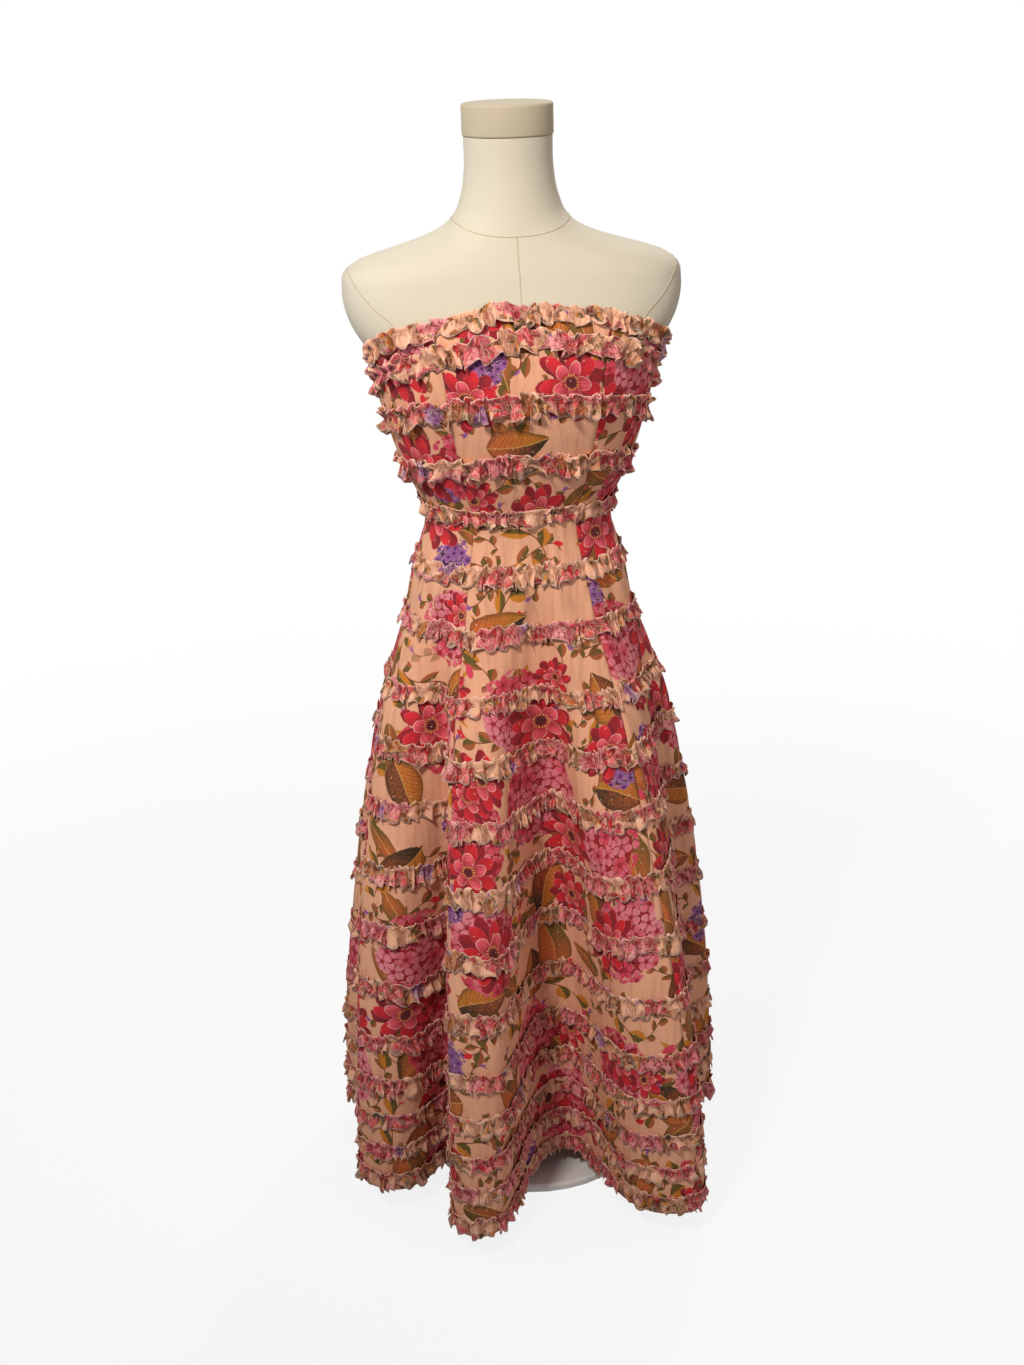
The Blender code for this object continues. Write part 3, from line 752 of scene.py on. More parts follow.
def open_flowers(colour, x, y, grit, cell, shift, chance, radius):
    """Paint open flowers with three rings of petals round a dark heart with stamens."""
    along, across, chances = scatter(x, y, cell, 0.50, shift)
    size = chances[1] * 0.35 + 0.80
    along = along / size + grit * 0.004
    across = across / (size * 0.88)
    present = chosen(chances, chance)
    for count, share, *look in PETAL_RINGS:
        colour = petal_ring(colour, along, across, present, grit, count, radius * share, *look)
    reach = distance(along, across)
    heart = soft_step(radius * 0.15 - reach + grit * 0.006, 0.002)
    colour = blend(heart * present, colour, WINE)
    spoke = work("SINE", work("ARCTAN2", across, along) * 17.0)
    ring = soft_step(0.0013 - abs(reach - radius * 0.19), 0.0006) * soft_step(spoke - 0.3, 0.2)
    return blend(ring * present, colour, STAMEN)


def flower_heads(colour, x, y, grit, cell, shift, chance, radius, floret, pale, mid, deep):
    """Paint round heads of many small five-petalled florets."""
    along, across, chances = scatter(x, y, cell, 0.45, shift)
    radius_here = (chances[1] * 0.3 + 0.85) * radius
    present = chosen(chances, chance)
    head = distance(along, across)
    under = soft_step(radius_here - head - floret * 0.35 + grit * 0.010, 0.001)
    painted = blend(under * present, colour, deep)
    near_x, near_y, tones = scatter(along, across, floret, 0.55, 0.013)
    inside, middle, reach, _ = petals(near_x, near_y, 5, floret * 0.63, 0.46, 0.0, 0.58)
    within = soft_step(radius_here - head + (inside / floret) * 0.006, 0.0008)
    light = tones[1] - 0.5 + (across - along) / radius * 0.45 + grit * 0.8
    tone = blend(soft_step(light, 0.6), mid, pale)
    shaded = blend(soft_step(0.36 - middle, 0.30) * 0.8, tone, deep)
    shaded = blend(soft_step(floret * 0.16 - reach, floret * 0.08), shaded, deep)
    shaded = blend(soft_step(0.0008 - inside, 0.0005) * 0.35, shaded, PALE)
    return blend(soft_step(inside, 0.0004) * within * present, painted, shaded)


def sprigs(colour, x, y, grit, cell, shift, chance, bud, leaf):
    """Paint thin curved twigs with small leaves at both sides and a bud at the end."""
    along, across, chances = scatter(x, y, cell, 0.4, shift)
    present = chosen(chances, chance)
    reach = cell * 0.44
    curve = across - work("SINE", along * (2.4 / reach)) * (reach * 0.22)
    inside = soft_step(reach - abs(along), 0.001)
    stem = soft_step(0.0007 - abs(curve), 0.0003) * inside * present
    step = reach * 0.42
    place = along / step
    number = work("FLOOR", place)
    odd = work("PINGPONG", number, 1.0) * 2.0 - 1.0
    leaf_x = (place - number) * step - step * 0.12
    leaf_y = curve * odd
    tilt = 0.66
    forward = leaf_x * math.cos(tilt) + leaf_y * math.sin(tilt)
    sideways = leaf_y * math.cos(tilt) - leaf_x * math.sin(tilt)
    size = step * 1.25
    t = forward / size
    half = t * (1.0 - t) * (size * 1.15)
    leaf_mask = soft_step(half - abs(sideways), 0.0005) * inside * present
    leaf_tone = blend(soft_step(sideways + grit * 0.003, 0.0012), OLIVE, leaf)
    painted = blend(leaf_mask, colour, leaf_tone)
    painted = blend(stem, painted, TWIG)
    tip_x = along - reach * 0.95
    bud_reach = work("SQRT", tip_x * tip_x * 0.35 + curve * curve)
    bud_mask = soft_step(reach * 0.09 - bud_reach, 0.0005) * present
    return blend(bud_mask, painted, bud)


class Look:
    """A material whose colour and relief are fields."""

    def __init__(self, name, roughness, sheen=0.0, metallic=0.0):
        self.made = bpy.data.materials.new(name)
        self.made.use_nodes = True
        self.tree = self.made.node_tree
        self.shader = self.tree.nodes["Principled BSDF"]
        self.set("Roughness", roughness)
        self.set("Metallic", metallic)
        if sheen:
            self.set("Sheen Weight", sheen)
            self.set("Sheen Roughness", 0.5)

    def set(self, name, value):
        link(self.tree, value, self.shader.inputs[name])

    def bump(self, height, strength, depth):
        node = self.tree.nodes.new("ShaderNodeBump")
        node.inputs["Strength"].default_value = strength
        node.inputs["Distance"].default_value = depth
        self.tree.links.new(height.socket, node.inputs["Height"])
        self.tree.links.new(node.outputs["Normal"], self.shader.inputs["Normal"])


def object_place(tree):
    """Return the place on an object in metres, as three fields."""
    return parts(tree, tree.nodes.new("ShaderNodeTexCoord").outputs["Object"])


def attribute(tree, name):
    node = tree.nodes.new("ShaderNodeAttribute")
    node.attribute_name = name
    return Field(tree, node.outputs["Fac"])


def surface_uv(tree):
    node = tree.nodes.new("ShaderNodeUVMap")
    node.uv_map = "flat"
    x, y, _ = parts(tree, node.outputs["UV"])
    return x, y


def new_group(name, inputs, colour_out):
    """Make an empty node group with numbers, and at most one colour, going in."""
    group = bpy.data.node_groups.new(name, "ShaderNodeTree")
    for label, kind in inputs:
        group.interface.new_socket(label, in_out="INPUT", socket_type="NodeSocket" + kind)
    group.interface.new_socket(colour_out, in_out="OUTPUT", socket_type="NodeSocketColor")
    return group, group.nodes.new("NodeGroupInput"), group.nodes.new("NodeGroupOutput")


def motif(name, paint, *settings):
    """Build a kind of motif once, as a node group that paints it over a colour."""
    inputs = [("Colour", "Color"), ("X", "Float"), ("Y", "Float"), ("Grit", "Float")]
    group, entry, leave = new_group(name, inputs, "Painted")
    x, y, grit = [Field(group, output) for output in entry.outputs[1:4]]
    group.links.new(paint(entry.outputs[0], x, y, grit, *settings), leave.inputs[0])
    return group


def use_group(group, tree, *values):
    node = tree.nodes.new("ShaderNodeGroup")
    node.node_tree = group
    for place, value in enumerate(values):
        link(tree, value, node.inputs[place])
    return node.outputs[0]


def flower_print(name, plenty):
    """Build the whole print as one node group: twigs, leaves, flower heads and open flowers."""
    motifs = [motif(label, sprigs, *settings) for label, *settings in TWIGS]
    for paint, rows in ((leaves, LEAVES), (flower_heads, HEADS), (open_flowers, FLOWERS)):
        for label, cell, shift, chance, *settings in rows:
            motifs.append(motif(label, paint, cell, shift, chance * plenty, *settings))
    group, entry, leave = new_group(name, [("X", "Float"), ("Y", "Float")], "Print")
    x, y = [Field(group, output) for output in entry.outputs[:2]]
    grit = paint_stroke(x, y)
    sway_x = x + (noise(x, y, 22.0, 2.0) - 0.5) * 0.010
    sway_y = y + (noise(x, y, 22.0, 2.0, 3.0) - 0.5) * 0.010
    streak = noise(x * 9.0, y * 0.6, 30.0, 2.0)
    colour = blend(stripes(x, STRIPE_PITCH) * 0.20 + streak * 0.4, PEACH, PEACH_DEEP)
    for painted in motifs:
        colour = use_group(painted, group, colour, sway_x, sway_y, grit)
    group.links.new(colour, leave.inputs[0])
    return group


def clip_dots(x, y):
    """Return where the small clipped dots of the cloth are."""
    dot_x, dot_y, _ = scatter(x, y, 0.021, 0.35, 0.004, turn=0.0)
    return soft_step(0.0008 - distance(dot_x, dot_y), 0.0004)


def printed_ground(flowers, x, y):
    """Return the print with its clipped dots and its threads, and these two for the relief."""
    dots = clip_dots(x, y)
    thread = noise(x, y, 900.0, 1.0)
    ground = blend(dots * 0.6, use_group(flowers, x.tree, x, y), PALE)
    return blend(thread * 0.05, ground, PALE), dots, thread


def cloth_look(name):
    """Start the look of a fine cotton."""
    look = Look(name, 0.80, sheen=0.06)
    look.set("Sheen Tint", PALE)
    look.set("Specular IOR Level", 0.22)
    return look


def panel_look(flowers):
    """Printed striped cotton with fine vertical creases, and painted shade in the troughs of the creases.
    """
    look = cloth_look("printed_cloth_look")
    x, y = surface_uv(look.tree)
    ground, dots, thread = printed_ground(flowers, x, y)
    crease = noise(x * 3.0, y * 0.5, 42.0, 3.0)
    # Painted shade: darker where the crease relief dips
    look.set("Base Color", blend(soft_step(0.42 - crease, 0.16) * 0.20, ground, CREVICE_SHADE))
    relief = stripes(x, STRIPE_PITCH) * 0.25 + thread * 0.5 + dots * 0.8 + crease * 2.6
    look.bump(relief, 0.5, 0.0007)
    return look.made


def ruffle_look(flowers):
    """Printed cotton that is paler at its edges (partly its own tone, partly painted highlight), has
    painted highlights on its crests and painted shade in its hollows, and is crumpled.
    """
    look = cloth_look("ruffle_cloth_look")
    x, y = [place * RUFFLE_PRINT_SCALE for place in surface_uv(look.tree)]
    ground, _, thread = printed_ground(flowers, x, y)
    edge = attribute(look.tree, "edge")
    hollow = attribute(look.tree, "painted_shade")
    gathers = noise(x * 3.2, y * 0.9, 95.0, 2.0)
    crumples = noise(x * 1.5, y * 0.8, 80.0, 1.0, 7.0)
    layers = (
        (soft_step(noise(x, y, 60.0, 2.0) - 0.60, 0.10) * 0.18, PALE),
        # Paler edges: partly the rolled hem's own tone, partly a painted highlight
        (soft_step(edge - 0.90 + paint_stroke(x, y) * 0.1, 0.06) * 0.60, PALE),
        # Painted highlight on the crests of the waves
        (soft_step(0.28 - hollow + (gathers - 0.5) * 1.1, 0.24) * 0.14, PALE),
        # Painted shade: darker in the hollows of the waves and near the stitch line
        (soft_step(hollow + (0.5 - gathers) * 1.5 - 0.60, 0.34) * HOLLOW_SHADE_STRENGTH, CREVICE_SHADE),
        # Painted highlight and painted shade along thin lines of the crumple relief
        (soft_step(0.034 - abs(crumples - 0.55), 0.030) * 0.26, PALE),
        (soft_step(0.020 - abs(crumples - 0.47), 0.020) * 0.34, CREASE_SHADE_BROWN),
    )
    for share, tone in layers:
        ground = blend(share, ground, tone)
    look.set("Base Color", ground)
    look.bump(gathers * 1.6 + crumples * 2.0 + thread * 0.2, 0.65, 0.0012)
    return look.made


def woven_tape(name, base, shade):
    """Narrow woven tape in a fine herringbone."""
    look = Look(name, 0.75, sheen=0.08)
    x, y = surface_uv(look.tree)
    weave = stripes(y + work("PINGPONG", x, 0.0013), 0.0009)
    look.set("Base Color", blend(weave * 0.5 + noise(x, y, 120.0, 2.0) * 0.4, base, shade))
    look.bump(weave, 0.4, 0.0002)
    return look.made


def linen(name, base, shade):
    """Close-woven linen stretched over the form, with faint slubs."""
    look = Look(name, 0.88, sheen=0.12)
    x, y, z = object_place(look.tree)
    weft = stripes(z, 0.0011)
    slub = noise(x, y, 420.0, 2.0, z * 3.0)
    cloudy = noise(x, y, 7.0, 3.0, z)
    look.set("Base Color", blend(cloudy * 0.5 + slub * 0.35 + weft * 0.10, base, shade))
    look.bump(slub * 0.7 + weft * 0.3, 0.35, 0.0004)
    return look.made


def plain_finish(name, base, shade, roughness, metallic=0.0):
    """Paint or metal with faint clouding and a fine grain."""
    look = Look(name, roughness, metallic=metallic)
    x, y, z = object_place(look.tree)
    grain = noise(x, y, 300.0, 2.0, z)
    look.set("Base Color", blend(noise(x, y, 14.0, 3.0, z) * 0.7 + grain * 0.3, base, shade))
    look.bump(grain, 0.15, 0.0003)
    return look.made


def place_object(name, data):
    thing = bpy.data.objects.new(name, data)
    bpy.context.scene.collection.objects.link(thing)
    return thing


def add_mesh(name, points, faces, material, uvs=None, sharp=None):
    """Add a smooth mesh, with sharp edges where its faces turn by more than an angle in degrees."""
    mesh = bpy.data.meshes.new(name)
    mesh.from_pydata(np.asarray(points).tolist(), [], faces)
    mesh.shade_smooth()
    if sharp:
        mesh.set_sharp_from_angle(angle=math.radians(sharp))
    mesh.materials.append(material)
    if uvs is not None:
        corners = np.zeros(len(mesh.loops), np.int32)
        mesh.loops.foreach_get("vertex_index", corners)
        layer = mesh.uv_layers.new(name="flat")
        layer.data.foreach_set("uv", np.asarray(uvs)[corners].ravel())
    return place_object(name, mesh)


def grid_faces(rows, columns):
    """Return the faces of a grid whose rows run down and whose columns run towards +share."""
    i, j = np.meshgrid(np.arange(rows - 1), np.arange(columns - 1), indexing="ij")
    first = (i * columns + j).ravel()
    return np.column_stack([first, first + columns, first + columns + 1, first + 1]).tolist()


def tube_faces(rings, columns):
    """Return the faces of a closed tube of rings, top to bottom, with a cap at each end."""
    i, j = np.meshgrid(np.arange(rings - 1), np.arange(columns), indexing="ij")
    first = (i * columns + j).ravel()
    after = (i * columns + (j + 1) % columns).ravel()
    faces = np.column_stack([first, first + columns, after + columns, after]).tolist()
    faces.append(list(range(columns)))
    faces.append([(rings - 1) * columns + place for place in reversed(range(columns))])
    return faces


def add_values(mesh, name, values):
    """Give each point of a mesh a number that its material reads."""
    layer = mesh.attributes.new(name, "FLOAT", "POINT")
    layer.data.foreach_set("value", np.array(values).ravel())


def add_shell(name, points, uvs, material):
    """Add a thin cloth shell from a grid of points on its outer face."""
    rows, columns = points.shape[:2]
    shell = add_mesh(name, points.reshape(-1, 3), grid_faces(rows, columns), material, uvs.reshape(-1, 2))
    thick = shell.modifiers.new("cloth", "SOLIDIFY")
    thick.thickness = CLOTH_THICKNESS
    thick.offset = -1.0
    return shell


def settle(piece, slot, *nodes):
    """Let a piece ride on the part's one body, in place of its nodes."""
    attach(piece, "root")
    if nodes:
        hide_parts(*nodes)
    return piece


def zip_trim(height):
    """Return how far the back panels end from centre back, to leave room for the zip."""
    fall = np.clip((ZIP_TAPER_TOP - height) / (ZIP_TAPER_TOP - ZIP_TAPER_BOTTOM), 0.0, 1.0)
    return ZIP_HALF_WIDTH * (1 - fall)


def add_panel(cloth, name, start, end, tops, bottom, step, material, place):
    """Add a panel between two seams, from its top edge to its lower one."""
    tall = float(np.max(tops)) - bottom
    rows = int(tall / step[1]) + 2
    columns = int((end - start) * cloth.girth(HEM_Z if bottom < WAIST_Z else BUST_Z) / step[0]) + 2
    across = np.linspace(0.0, 1.0, columns)[None, :]
    down = np.linspace(0.0, 1.0, rows)[:, None]
    shares = start + (end - start) * across
    top = row_height(*tops, shares)
    heights = top + (bottom - top) * down
    girth = cloth.girth(heights)
    trim = zip_trim(heights) / girth
    left = start + (trim if abs(start - 0.5) < 0.001 else 0.0)
    right = end - (trim if abs(end - 0.5) < 0.001 else 0.0)
    shares = left + (right - left) * across
    points, _ = cloth.at(heights, shares)
    middle = (start + end) / 2
    uvs = np.dstack([(shares - middle) * girth + 0.77 * place, heights + 0.53 * place])
    panel = add_shell(name + "_panel", points, uvs, material)
    settle(panel, "printed_cloth", name)
    widths = (right - left) * girth
    widths = np.broadcast_to(widths, heights.shape).max(axis=1)
    lengths = (top - bottom).ravel()
    area = float(widths.mean() * lengths.mean())
    flat = (float(widths.max()), float(lengths.max()))
    return panel, flat, min(area, flat[0] * flat[1])


def add_panels(cloth, material):
    """Add the bodice and skirt panels, each cut from its own place in the print."""
    top_edge = RUFFLES[0][1:4]
    for place, (name, start, end) in enumerate(PANELS):
        panel, flat, area = add_panel(
            cloth, "bodice_" + name, start, end, top_edge, WAIST_Z, BODICE_STEP, material, place + 1
        )
        waist = (WAIST_Z, WAIST_Z, WAIST_Z)
        panel, flat, area = add_panel(
            cloth, "skirt_" + name, start, end, waist, HEM_Z, PANEL_STEP, material, place + 11
        )


class Waves:
    """The waves of one ruffle, and values that change smoothly from wave to wave."""

    def __init__(self, rng, count):
        self.rng = rng
        self.count = count
        self.phase = np.linspace(0.0, 2 * math.pi * count, count * WAVE_COLUMNS + 1)
        self.turns = self.phase / (2 * math.pi)

    def vary(self, low, high):
        """Draw a value for each wave, so that the last one meets the first."""
        values = self.rng.uniform(low, high, self.count)
        return np.interp(self.turns, np.arange(self.count + 1), np.append(values, values[0]))


def roll_out(start_angle, end_angle, width, reached):
    """Return how far a curling strip goes out and along the cloth, at shares of its width."""
    bend = end_angle - start_angle
    bend = np.where(np.abs(bend) < 0.01, 0.01, bend)
    now = start_angle + bend * reached
    out = width * (np.cos(start_angle) - np.cos(now)) / bend
    along = width * (np.sin(now) - np.sin(start_angle)) / bend
    return out, along


def fold_over(beat, phase):
    """Return how far the walls of the waves lean over along the row, as shares of a wave."""
    step = phase[1] - phase[0]
    wide = 2 * WAVE_COLUMNS
    window = np.ones(2 * wide + 1) / (2 * wide + 1)
    steep = np.gradient(np.pad(beat[:-1], (2 * wide, 2 * wide + 1), mode="wrap"), step) ** 2
    extra = steep[wide:-wide] - np.convolve(steep, window, mode="valid")
    shift = -LOOP * np.cumsum(extra) * step / math.pi
    return shift[wide:-wide] - np.convolve(shift, window, mode="valid")


def ruffle_line(cloth, level, split):
    """Return a row's shares, how far each is along the row, and where the ruffle starts and ends."""
    shares = np.linspace(-0.5, 0.5, LINE_STEPS)
    line, _ = cloth.at(row_height(*level, shares), shares)
    walked = np.concatenate([[0.0], np.cumsum(np.linalg.norm(np.diff(line, axis=0), axis=1))])
    gap = RUFFLE_TO_ZIP if split else 0.0
    return shares, walked, gap, walked[-1] - gap


def add_ruffle(cloth, place, name, level, header, frill, material):
    """Add a ruffle: a strip gathered along its stitch line, with both its edges in loose waves."""
    style = BODICE_STYLE if place < BODICE_ROWS else SKIRT_STYLE
    rng = np.random.default_rng(SEED + place)
    shares, walked, start, end = ruffle_line(cloth, level, place < SPLIT_ROWS)
    count = int(round((end - start) / style.wave))
    lengths = rng.uniform(*WAVE_LENGTHS, count)
    knots = np.concatenate([[0.0], np.cumsum(lengths)]) / lengths.sum()
    waves = Waves(rng, count)
    phase = waves.phase
    along = start + (end - start) * np.interp(waves.turns, np.arange(count + 1), knots)
    wave = (end - start) / count * waves.vary(*WAVE_REACH)
    wander = waves.vary(-1.0, 1.0) * style.wander
    lean = waves.vary(*WAVE_LEAN)
    tilt = waves.vary(*WAVE_TILT)
    crumple = waves.vary(0.0, 2 * math.pi)
    slow, quick, quicker = [round(turns * count) / count for turns in OVERTONES]
    rows = []
    edge = []
    painted_shade = []
    for side, width, steps in ((-1, header, HEADER_STEPS), (1, frill, FRILL_STEPS)):
        swing = waves.vary(*WAVE_SWING)
        width = width * waves.vary(*WAVE_WIDTH)
        turned = phase + (waves.vary(*WAVE_OFFSET) + math.pi * 0.5) * (side < 0)
        beat = 0.84 * np.sin(turned) * swing + 0.32 * style.rough * np.sin(quick * turned + crumple)
        beat = beat + 0.16 * style.rough * np.sin(quicker * turned + 2.0 * crumple)
        begin = (0.24 + style.lifted * beat) * style.flare
        curl = begin + (lean + style.rolled * beat) * style.flare
        twist = tilt + 0.50 * style.rough * swing * np.cos(quick * turned + crumple)
        meander = 1.0 + 0.20 * np.sin(slow * turned + crumple)
        loops = fold_over(beat, phase) * wave
        reaches = np.linspace(0.0, 1.0, steps + 1)
        for reached in reaches[:0:-1] if side < 0 else reaches:
            out, down = roll_out(begin, curl, width, reached)
            shift = loops * reached**0.7 + 0.6 * down * np.sin(twist)
            share = np.interp(np.clip(along + shift, start, end), walked, shares)
            height = row_height(*level, share) + wander - side * down * np.cos(twist) * meander
            point, normal = cloth.at(height, share)
            pinch = PINCH * (1 - reached) * np.sin(2 * phase + crumple)
            rows.append(point + normal * (RUFFLE_LIFT + np.maximum(out, 0.0) + pinch)[:, None])
            edge.append(np.full(len(phase), reached))
            # Painted shade: how deep each point lies in its wave's hollow, more so near the stitch line
            hollow = np.clip(0.44 - 0.62 * beat, 0.0, 1.0) * (1.0 - 0.25 * reached)
            painted_shade.append(np.clip(hollow + 0.22 * (1.0 - reached) ** 4, 0.0, 1.0))
    points = np.array(rows)
    steps_along = np.linalg.norm(np.diff(points, axis=1), axis=2).mean(axis=0)
    strip = np.concatenate([[0.0], np.cumsum(steps_along)])
    above = np.linspace(header, 0.0, HEADER_STEPS + 1)[:-1]
    drops = np.concatenate([above, np.linspace(0.0, -frill, FRILL_STEPS + 1)])
    cut = (1.31 * place, 0.37 * place)
    uvs = np.dstack(np.broadcast_arrays(strip[None, :] + cut[0], drops[:, None] + cut[1]))
    ruffle = add_shell(name + "_strip", points, uvs, material)
    # Numbers for the material: share across the strip, and how much painted shade each point gets
    add_values(ruffle.data, "edge", edge)
    add_values(ruffle.data, "painted_shade", painted_shade)
    settle(ruffle, "ruffle_cloth", name)
    below = "skirt_front" if level[0] < WAIST_Z else "bodice_front"


def add_ruffles(cloth, material):
    for place, (name, front, side, back, header, frill) in enumerate(RUFFLES):
        add_ruffle(cloth, place, name, (front, side, back), header, frill, material)


def add_zip(cloth, tape, metal):
    """Add the closed zip: its woven tape, two rows of meshed teeth, and the slider with its pull."""
    top = RUFFLES[0][3]
    heights = np.linspace(top, ZIP_END_Z, 120)[:, None]
    across = np.linspace(-1.0, 1.0, 5)[None, :]
    reach = TAPE_HALF_WIDTH * across
    points, normals = cloth.at(heights, 0.5 + reach / cloth.girth(heights))
    points = points - normals * TAPE_DEPTH
    uvs = np.dstack(np.broadcast_arrays(reach, heights))
    strip = add_shell("zip_tape_strip", points, uvs, tape)
    settle(strip, "zip_tape", "zip_tape")
    add_teeth(cloth, top, tape)
    add_slider(cloth, top, metal)


def add_teeth(cloth, top, material):
    wide, thick, tall = TOOTH_SIZE
    corners = []
    faces = []
    for number in range(int((top - ZIP_END_Z) / TOOTH_PITCH)):
        place, normal = cloth.at(top - TOOTH_PITCH * number, 0.5)
        side = 1.0 if number % 2 else -1.0
        first = len(corners)
        for x in (-0.2 * wide, wide):
            for y in (-0.2 * thick, thick):
                for z in (-tall / 2, tall / 2):
                    corners.append(place + normal * y + np.array([side * x, 0.0, z]))
        for face in ((0, 1, 3, 2), (4, 6, 7, 5), (0, 4, 5, 1), (2, 3, 7, 6), (0, 2, 6, 4), (1, 5, 7, 3)):
            faces.append([first + corner for corner in (face if side > 0 else face[::-1])])
    settle(add_mesh("zip_teeth", corners, faces, material), "zip_tape")


def bevelled_block(bm, size, centre, bevel):
    """Add a block with rounded edges to a bmesh, at its own place across, out and down."""
    made = bmesh.ops.create_cube(bm, size=1.0)["verts"]
    bmesh.ops.scale(bm, vec=size, verts=made)
    bmesh.ops.translate(bm, vec=centre, verts=made)
    edges = list({edge for corner in made for edge in corner.link_edges})
    bmesh.ops.bevel(bm, geom=edges, offset=bevel, segments=3, affect="EDGES", profile=0.6)


def add_slider(cloth, top, material):
    """Add the slider's body, its bridge and its pull tab, flat against the tape."""
    low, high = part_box("zip_slider")
    centre = (low + high) / 2
    upper, _ = cloth.at(top, 0.5)
    lower, _ = cloth.at(centre.z - 0.012, 0.5)
    up = Vector((upper - lower).tolist()).normalized()
    across = Vector((-1.0, 0.0, 0.0))
    out = across.cross(up)
    width = high.x - low.x
    tall = high.z - low.z
    bm = bmesh.new()
    bevelled_block(bm, (width, 0.0022, tall), (0.0, -0.0002, 0.0), 0.0007)
    bevelled_block(bm, (width * 0.34, 0.0022, tall * 0.78), (0.0, 0.0016, 0.0), 0.0006)
    drop = -tall * 0.25 - PULL_SIZE[2] / 2
    bevelled_block(bm, PULL_SIZE, (0.0, 0.0030, drop), 0.0004)
    mesh = bpy.data.meshes.new("zip_slider_shaped")
    bm.to_mesh(mesh)
    bm.free()
    mesh.shade_smooth()
    mesh.set_sharp_from_angle(angle=math.radians(40))
    mesh.materials.append(material)
    slider = place_object("zip_slider_shaped", mesh)
    slider.matrix_world = Matrix.Translation(centre) @ Matrix([across, out, up]).transposed().to_4x4()
    settle(slider, "zip_metal", "zip_slider")


def turned_mesh(name, profile, material, divisions=128):
    """Add a turned piece round the vertical axis from radius and height pairs, top to bottom."""
    turn = np.linspace(0.0, 2 * math.pi, divisions, endpoint=False)
    rings = []
    for radius, height in profile:
        tall = np.full(divisions, height)
        rings.append(np.column_stack([radius * np.cos(turn), radius * np.sin(turn), tall]))
    return add_mesh(name, np.vstack(rings), tube_faces(len(rings), divisions), material, sharp=35)


def rounded(radius, height, bevel, upper=True, steps=6):
    """Return the profile points of a rounded outer edge at a radius and height."""
    points = []
    for step in range(steps + 1):
        turn = math.pi / 2 * step / steps
        across = 1 - math.sin(turn)
        along = 1 - math.cos(turn)
        if upper:
            points.append((radius - bevel * across, height - bevel * along))
        else:
            points.append((radius - bevel * along, height + bevel * across))
    return points


def add_form(material):
    """Add the smooth torso of the dress form."""
    low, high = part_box("form_torso")
    rings = []
    for height in np.linspace(high.z, low.z, FORM_RINGS):
        plan = section_outline(BODY_SECTIONS, height, FORM_COLUMNS)
        rings.append(np.column_stack([plan, np.full(FORM_COLUMNS, height)]))
    faces = tube_faces(FORM_RINGS, FORM_COLUMNS)
    body = add_mesh("form_linen_body", np.vstack(rings), faces, material, sharp=50)
    settle(body, "form_linen", "form_torso")


def on_form(across, height, front=True):
    """Return the point of the form's surface at a place across and a height."""
    half_width, depth, back, squareness = [table_value(BODY_SECTIONS, height, k) for k in (1, 2, 3, 4)]
    share = min(abs(across) / half_width, 1.0)
    reach = (1.0 - share**squareness) ** (1.0 / squareness)
    return (across, -depth * reach if front else back * reach, height)


def add_form_seams(material):
    """Add the form's seams at the neck, centre front, centre back and armholes."""
    paths = []
    corners = np.arange(len(ARMHOLE_SEAM))
    steps = np.linspace(0, corners[-1], SEAM_STEPS)
    across, down = [np.interp(steps, corners, column) for column in zip(*ARMHOLE_SEAM)]
    for front in (True, False):
        heights = np.linspace(NECK_SEAM_HIGH - NECK_SEAM_DIP * front, 1.00, 60)
        paths.append([on_form(0.0, height, front) for height in heights])
        for side in (-1, 1):
            paths.append([on_form(side * x, z, front) for x, z in zip(across, down)])
    neck = []
    for turn in np.linspace(0.0, 2 * math.pi, 121):
        height = NECK_SEAM_HIGH - NECK_SEAM_DIP * max(0.0, math.cos(turn)) ** 2
        outline = section_outline(BODY_SECTIONS, height, 240)
        x, y = outline[int(round(turn / (2 * math.pi) * 240)) % 240]
        neck.append((x, y, height))
    paths.append(neck)
    data = bpy.data.curves.new("form_seams", "CURVE")
    data.dimensions = "3D"
    data.bevel_depth = SEAM_RADIUS
    data.bevel_resolution = 1
    data.use_fill_caps = True
    data.materials.append(material)
    for path in paths:
        spline = data.splines.new("POLY")
        spline.points.add(len(path) - 1)
        for point, place in zip(spline.points, path):
            point.co = (*place, 1.0)
    settle(place_object("form_seams", data), "form_linen")


def add_stand(cap_paint, stand_paint):
    low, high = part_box("neck_cap")
    radius = high.x
    cap = [(0.004, high.z + 0.0002), (radius * 0.6, high.z + 0.0001)]
    cap += rounded(radius, high.z, 0.0035)
    cap += [(radius, (low.z + high.z) / 2)]
    cap += rounded(radius, low.z, 0.0025, upper=False)
    settle(turned_mesh("neck_cap_turned", cap, cap_paint), "cap_paint", "neck_cap")
    for name in ("stand_pole", "stand_base"):
        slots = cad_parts[name].data.materials
        slots.clear()
        slots.append(stand_paint)


def add_camera():
    ahead = Vector((math.sin(CAMERA_YAW), math.cos(CAMERA_YAW), 0.0))
    forward = ahead * math.cos(CAMERA_PITCH) - Vector((0.0, 0.0, math.sin(CAMERA_PITCH)))
    level = Vector((math.cos(CAMERA_YAW), -math.sin(CAMERA_YAW), 0.0))
    upward = level.cross(forward)
    up = upward * math.cos(CAMERA_ROLL) + level * math.sin(CAMERA_ROLL)
    right = level * math.cos(CAMERA_ROLL) - upward * math.sin(CAMERA_ROLL)
    data = bpy.data.cameras.new("camera")
    data.sensor_width = SENSOR
    data.lens = SENSOR * FOCAL_PIXELS / PHOTO_HEIGHT
    data.shift_x = -CENTRE_OFFSET_PIXELS / PHOTO_HEIGHT
    camera = place_object("camera", data)
    axes = Matrix([right, up, -forward]).transposed().to_4x4()
    camera.matrix_world = Matrix.Translation(CAMERA_PLACE) @ axes
    bpy.context.scene.camera = camera


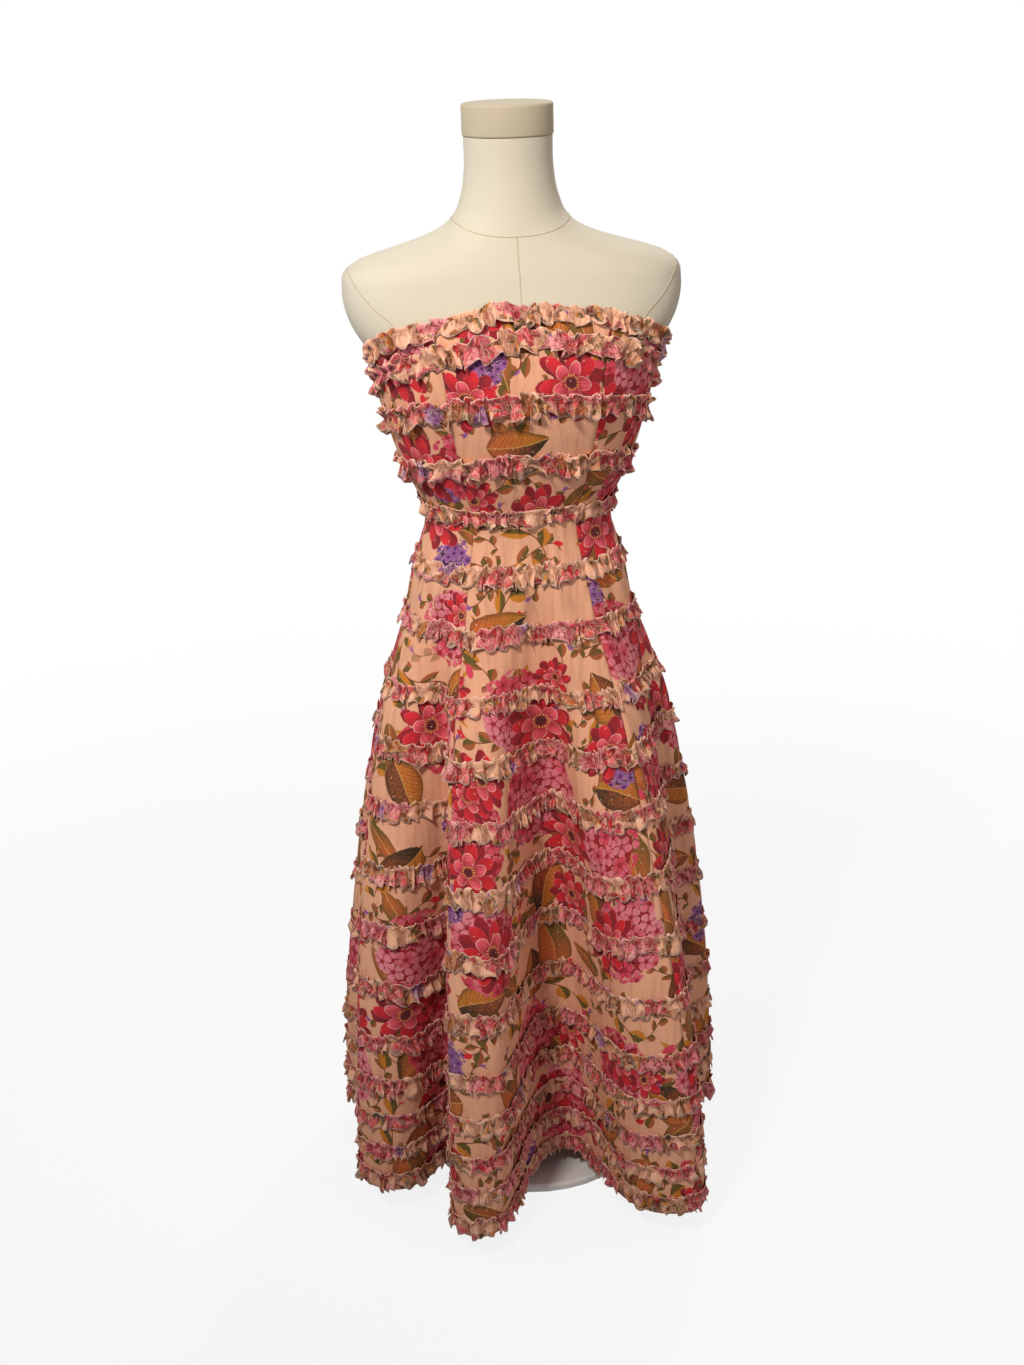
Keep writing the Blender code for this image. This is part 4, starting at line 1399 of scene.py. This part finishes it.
def add_light(name, place, target, size, power, colour, spread):
    """Add a spot whose light falls off to its rim or, where there is no spread, a disk."""
    data = bpy.data.lights.new(name, "SPOT" if spread else "AREA")
    data.energy = power
    data.color = colour
    if spread:
        data.shadow_soft_size = size
        data.spot_size = math.radians(spread)
        data.spot_blend = 1.0
    else:
        data.shape = "DISK"
        data.size = size
    light = place_object(name, data)
    light.location = place
    light.rotation_mode = "QUATERNION"
    light.rotation_quaternion = (Vector(target) - Vector(place)).to_track_quat("-Z", "Y")


def add_studio():
    """Add soft studio light, a pale floor and a white surround."""
    for name, settings in LIGHTS.items():
        add_light(name, *settings)
    world = bpy.data.worlds.new("studio")
    bpy.context.scene.world = world
    world.use_nodes = True
    tree = world.node_tree
    background = tree.nodes["Background"]
    path = tree.nodes.new("ShaderNodeLightPath")
    seen = Field(tree, path.outputs["Is Camera Ray"])
    tree.links.new(blend(seen, AMBIENT_TINT, WHITE), background.inputs["Color"])
    level = tree.nodes.new("ShaderNodeMapRange")
    level.inputs["To Min"].default_value = AMBIENT
    level.inputs["To Max"].default_value = 1.0
    tree.links.new(path.outputs["Is Camera Ray"], level.inputs["Value"])
    tree.links.new(level.outputs["Result"], background.inputs["Strength"])
    add_floor()
    bpy.context.scene.view_settings.view_transform = "Standard"


def add_floor():
    """Add a plain pale floor whose far part is as white as the surround."""
    look = Look("floor_paint", 0.9)
    x, y, _ = object_place(look.tree)
    look.set("Base Color", blend(noise(x, y, 3.0, 2.0), linear(250, 249, 247), linear(244, 243, 240)))
    look.set("Alpha", soft_step(FLOOR_FADE - distance(x, y), FLOOR_FADE * 0.8) * FLOOR_ALPHA)
    turn = np.linspace(0.0, 2 * math.pi, 64, endpoint=False)
    rim = np.column_stack([np.cos(turn), np.sin(turn), np.zeros(64)]) * FLOOR_RADIUS
    add_mesh("floor", rim, [list(range(64))], look.made)


def main():
    add_camera()
    add_studio()
    cloth = Cloth()
    add_panels(cloth, panel_look(flower_print("flower print", 1.0)))
    add_ruffles(cloth, ruffle_look(flower_print("dense flower print", RUFFLE_PLENTY)))
    tape = woven_tape("zip_tape_look", linear(226, 172, 140), linear(190, 128, 98))
    metal = plain_finish("zip_metal_look", linear(214, 182, 146), linear(186, 150, 112), 0.30, metallic=1.0)
    add_zip(cloth, tape, metal)
    seam_thread = linen("form_seam_look", linear(200, 186, 160), linear(184, 168, 140))
    add_form_seams(seam_thread)
    add_form(linen("form_linen_look", linear(216, 209, 190), linear(199, 190, 167)))
    cap_paint = linen("cap_paint_look", linear(196, 184, 158), linear(180, 166, 140))
    stand_paint = plain_finish("stand_paint_look", linear(248, 247, 243), linear(240, 238, 232), 0.50)
    add_stand(cap_paint, stand_paint)


main()
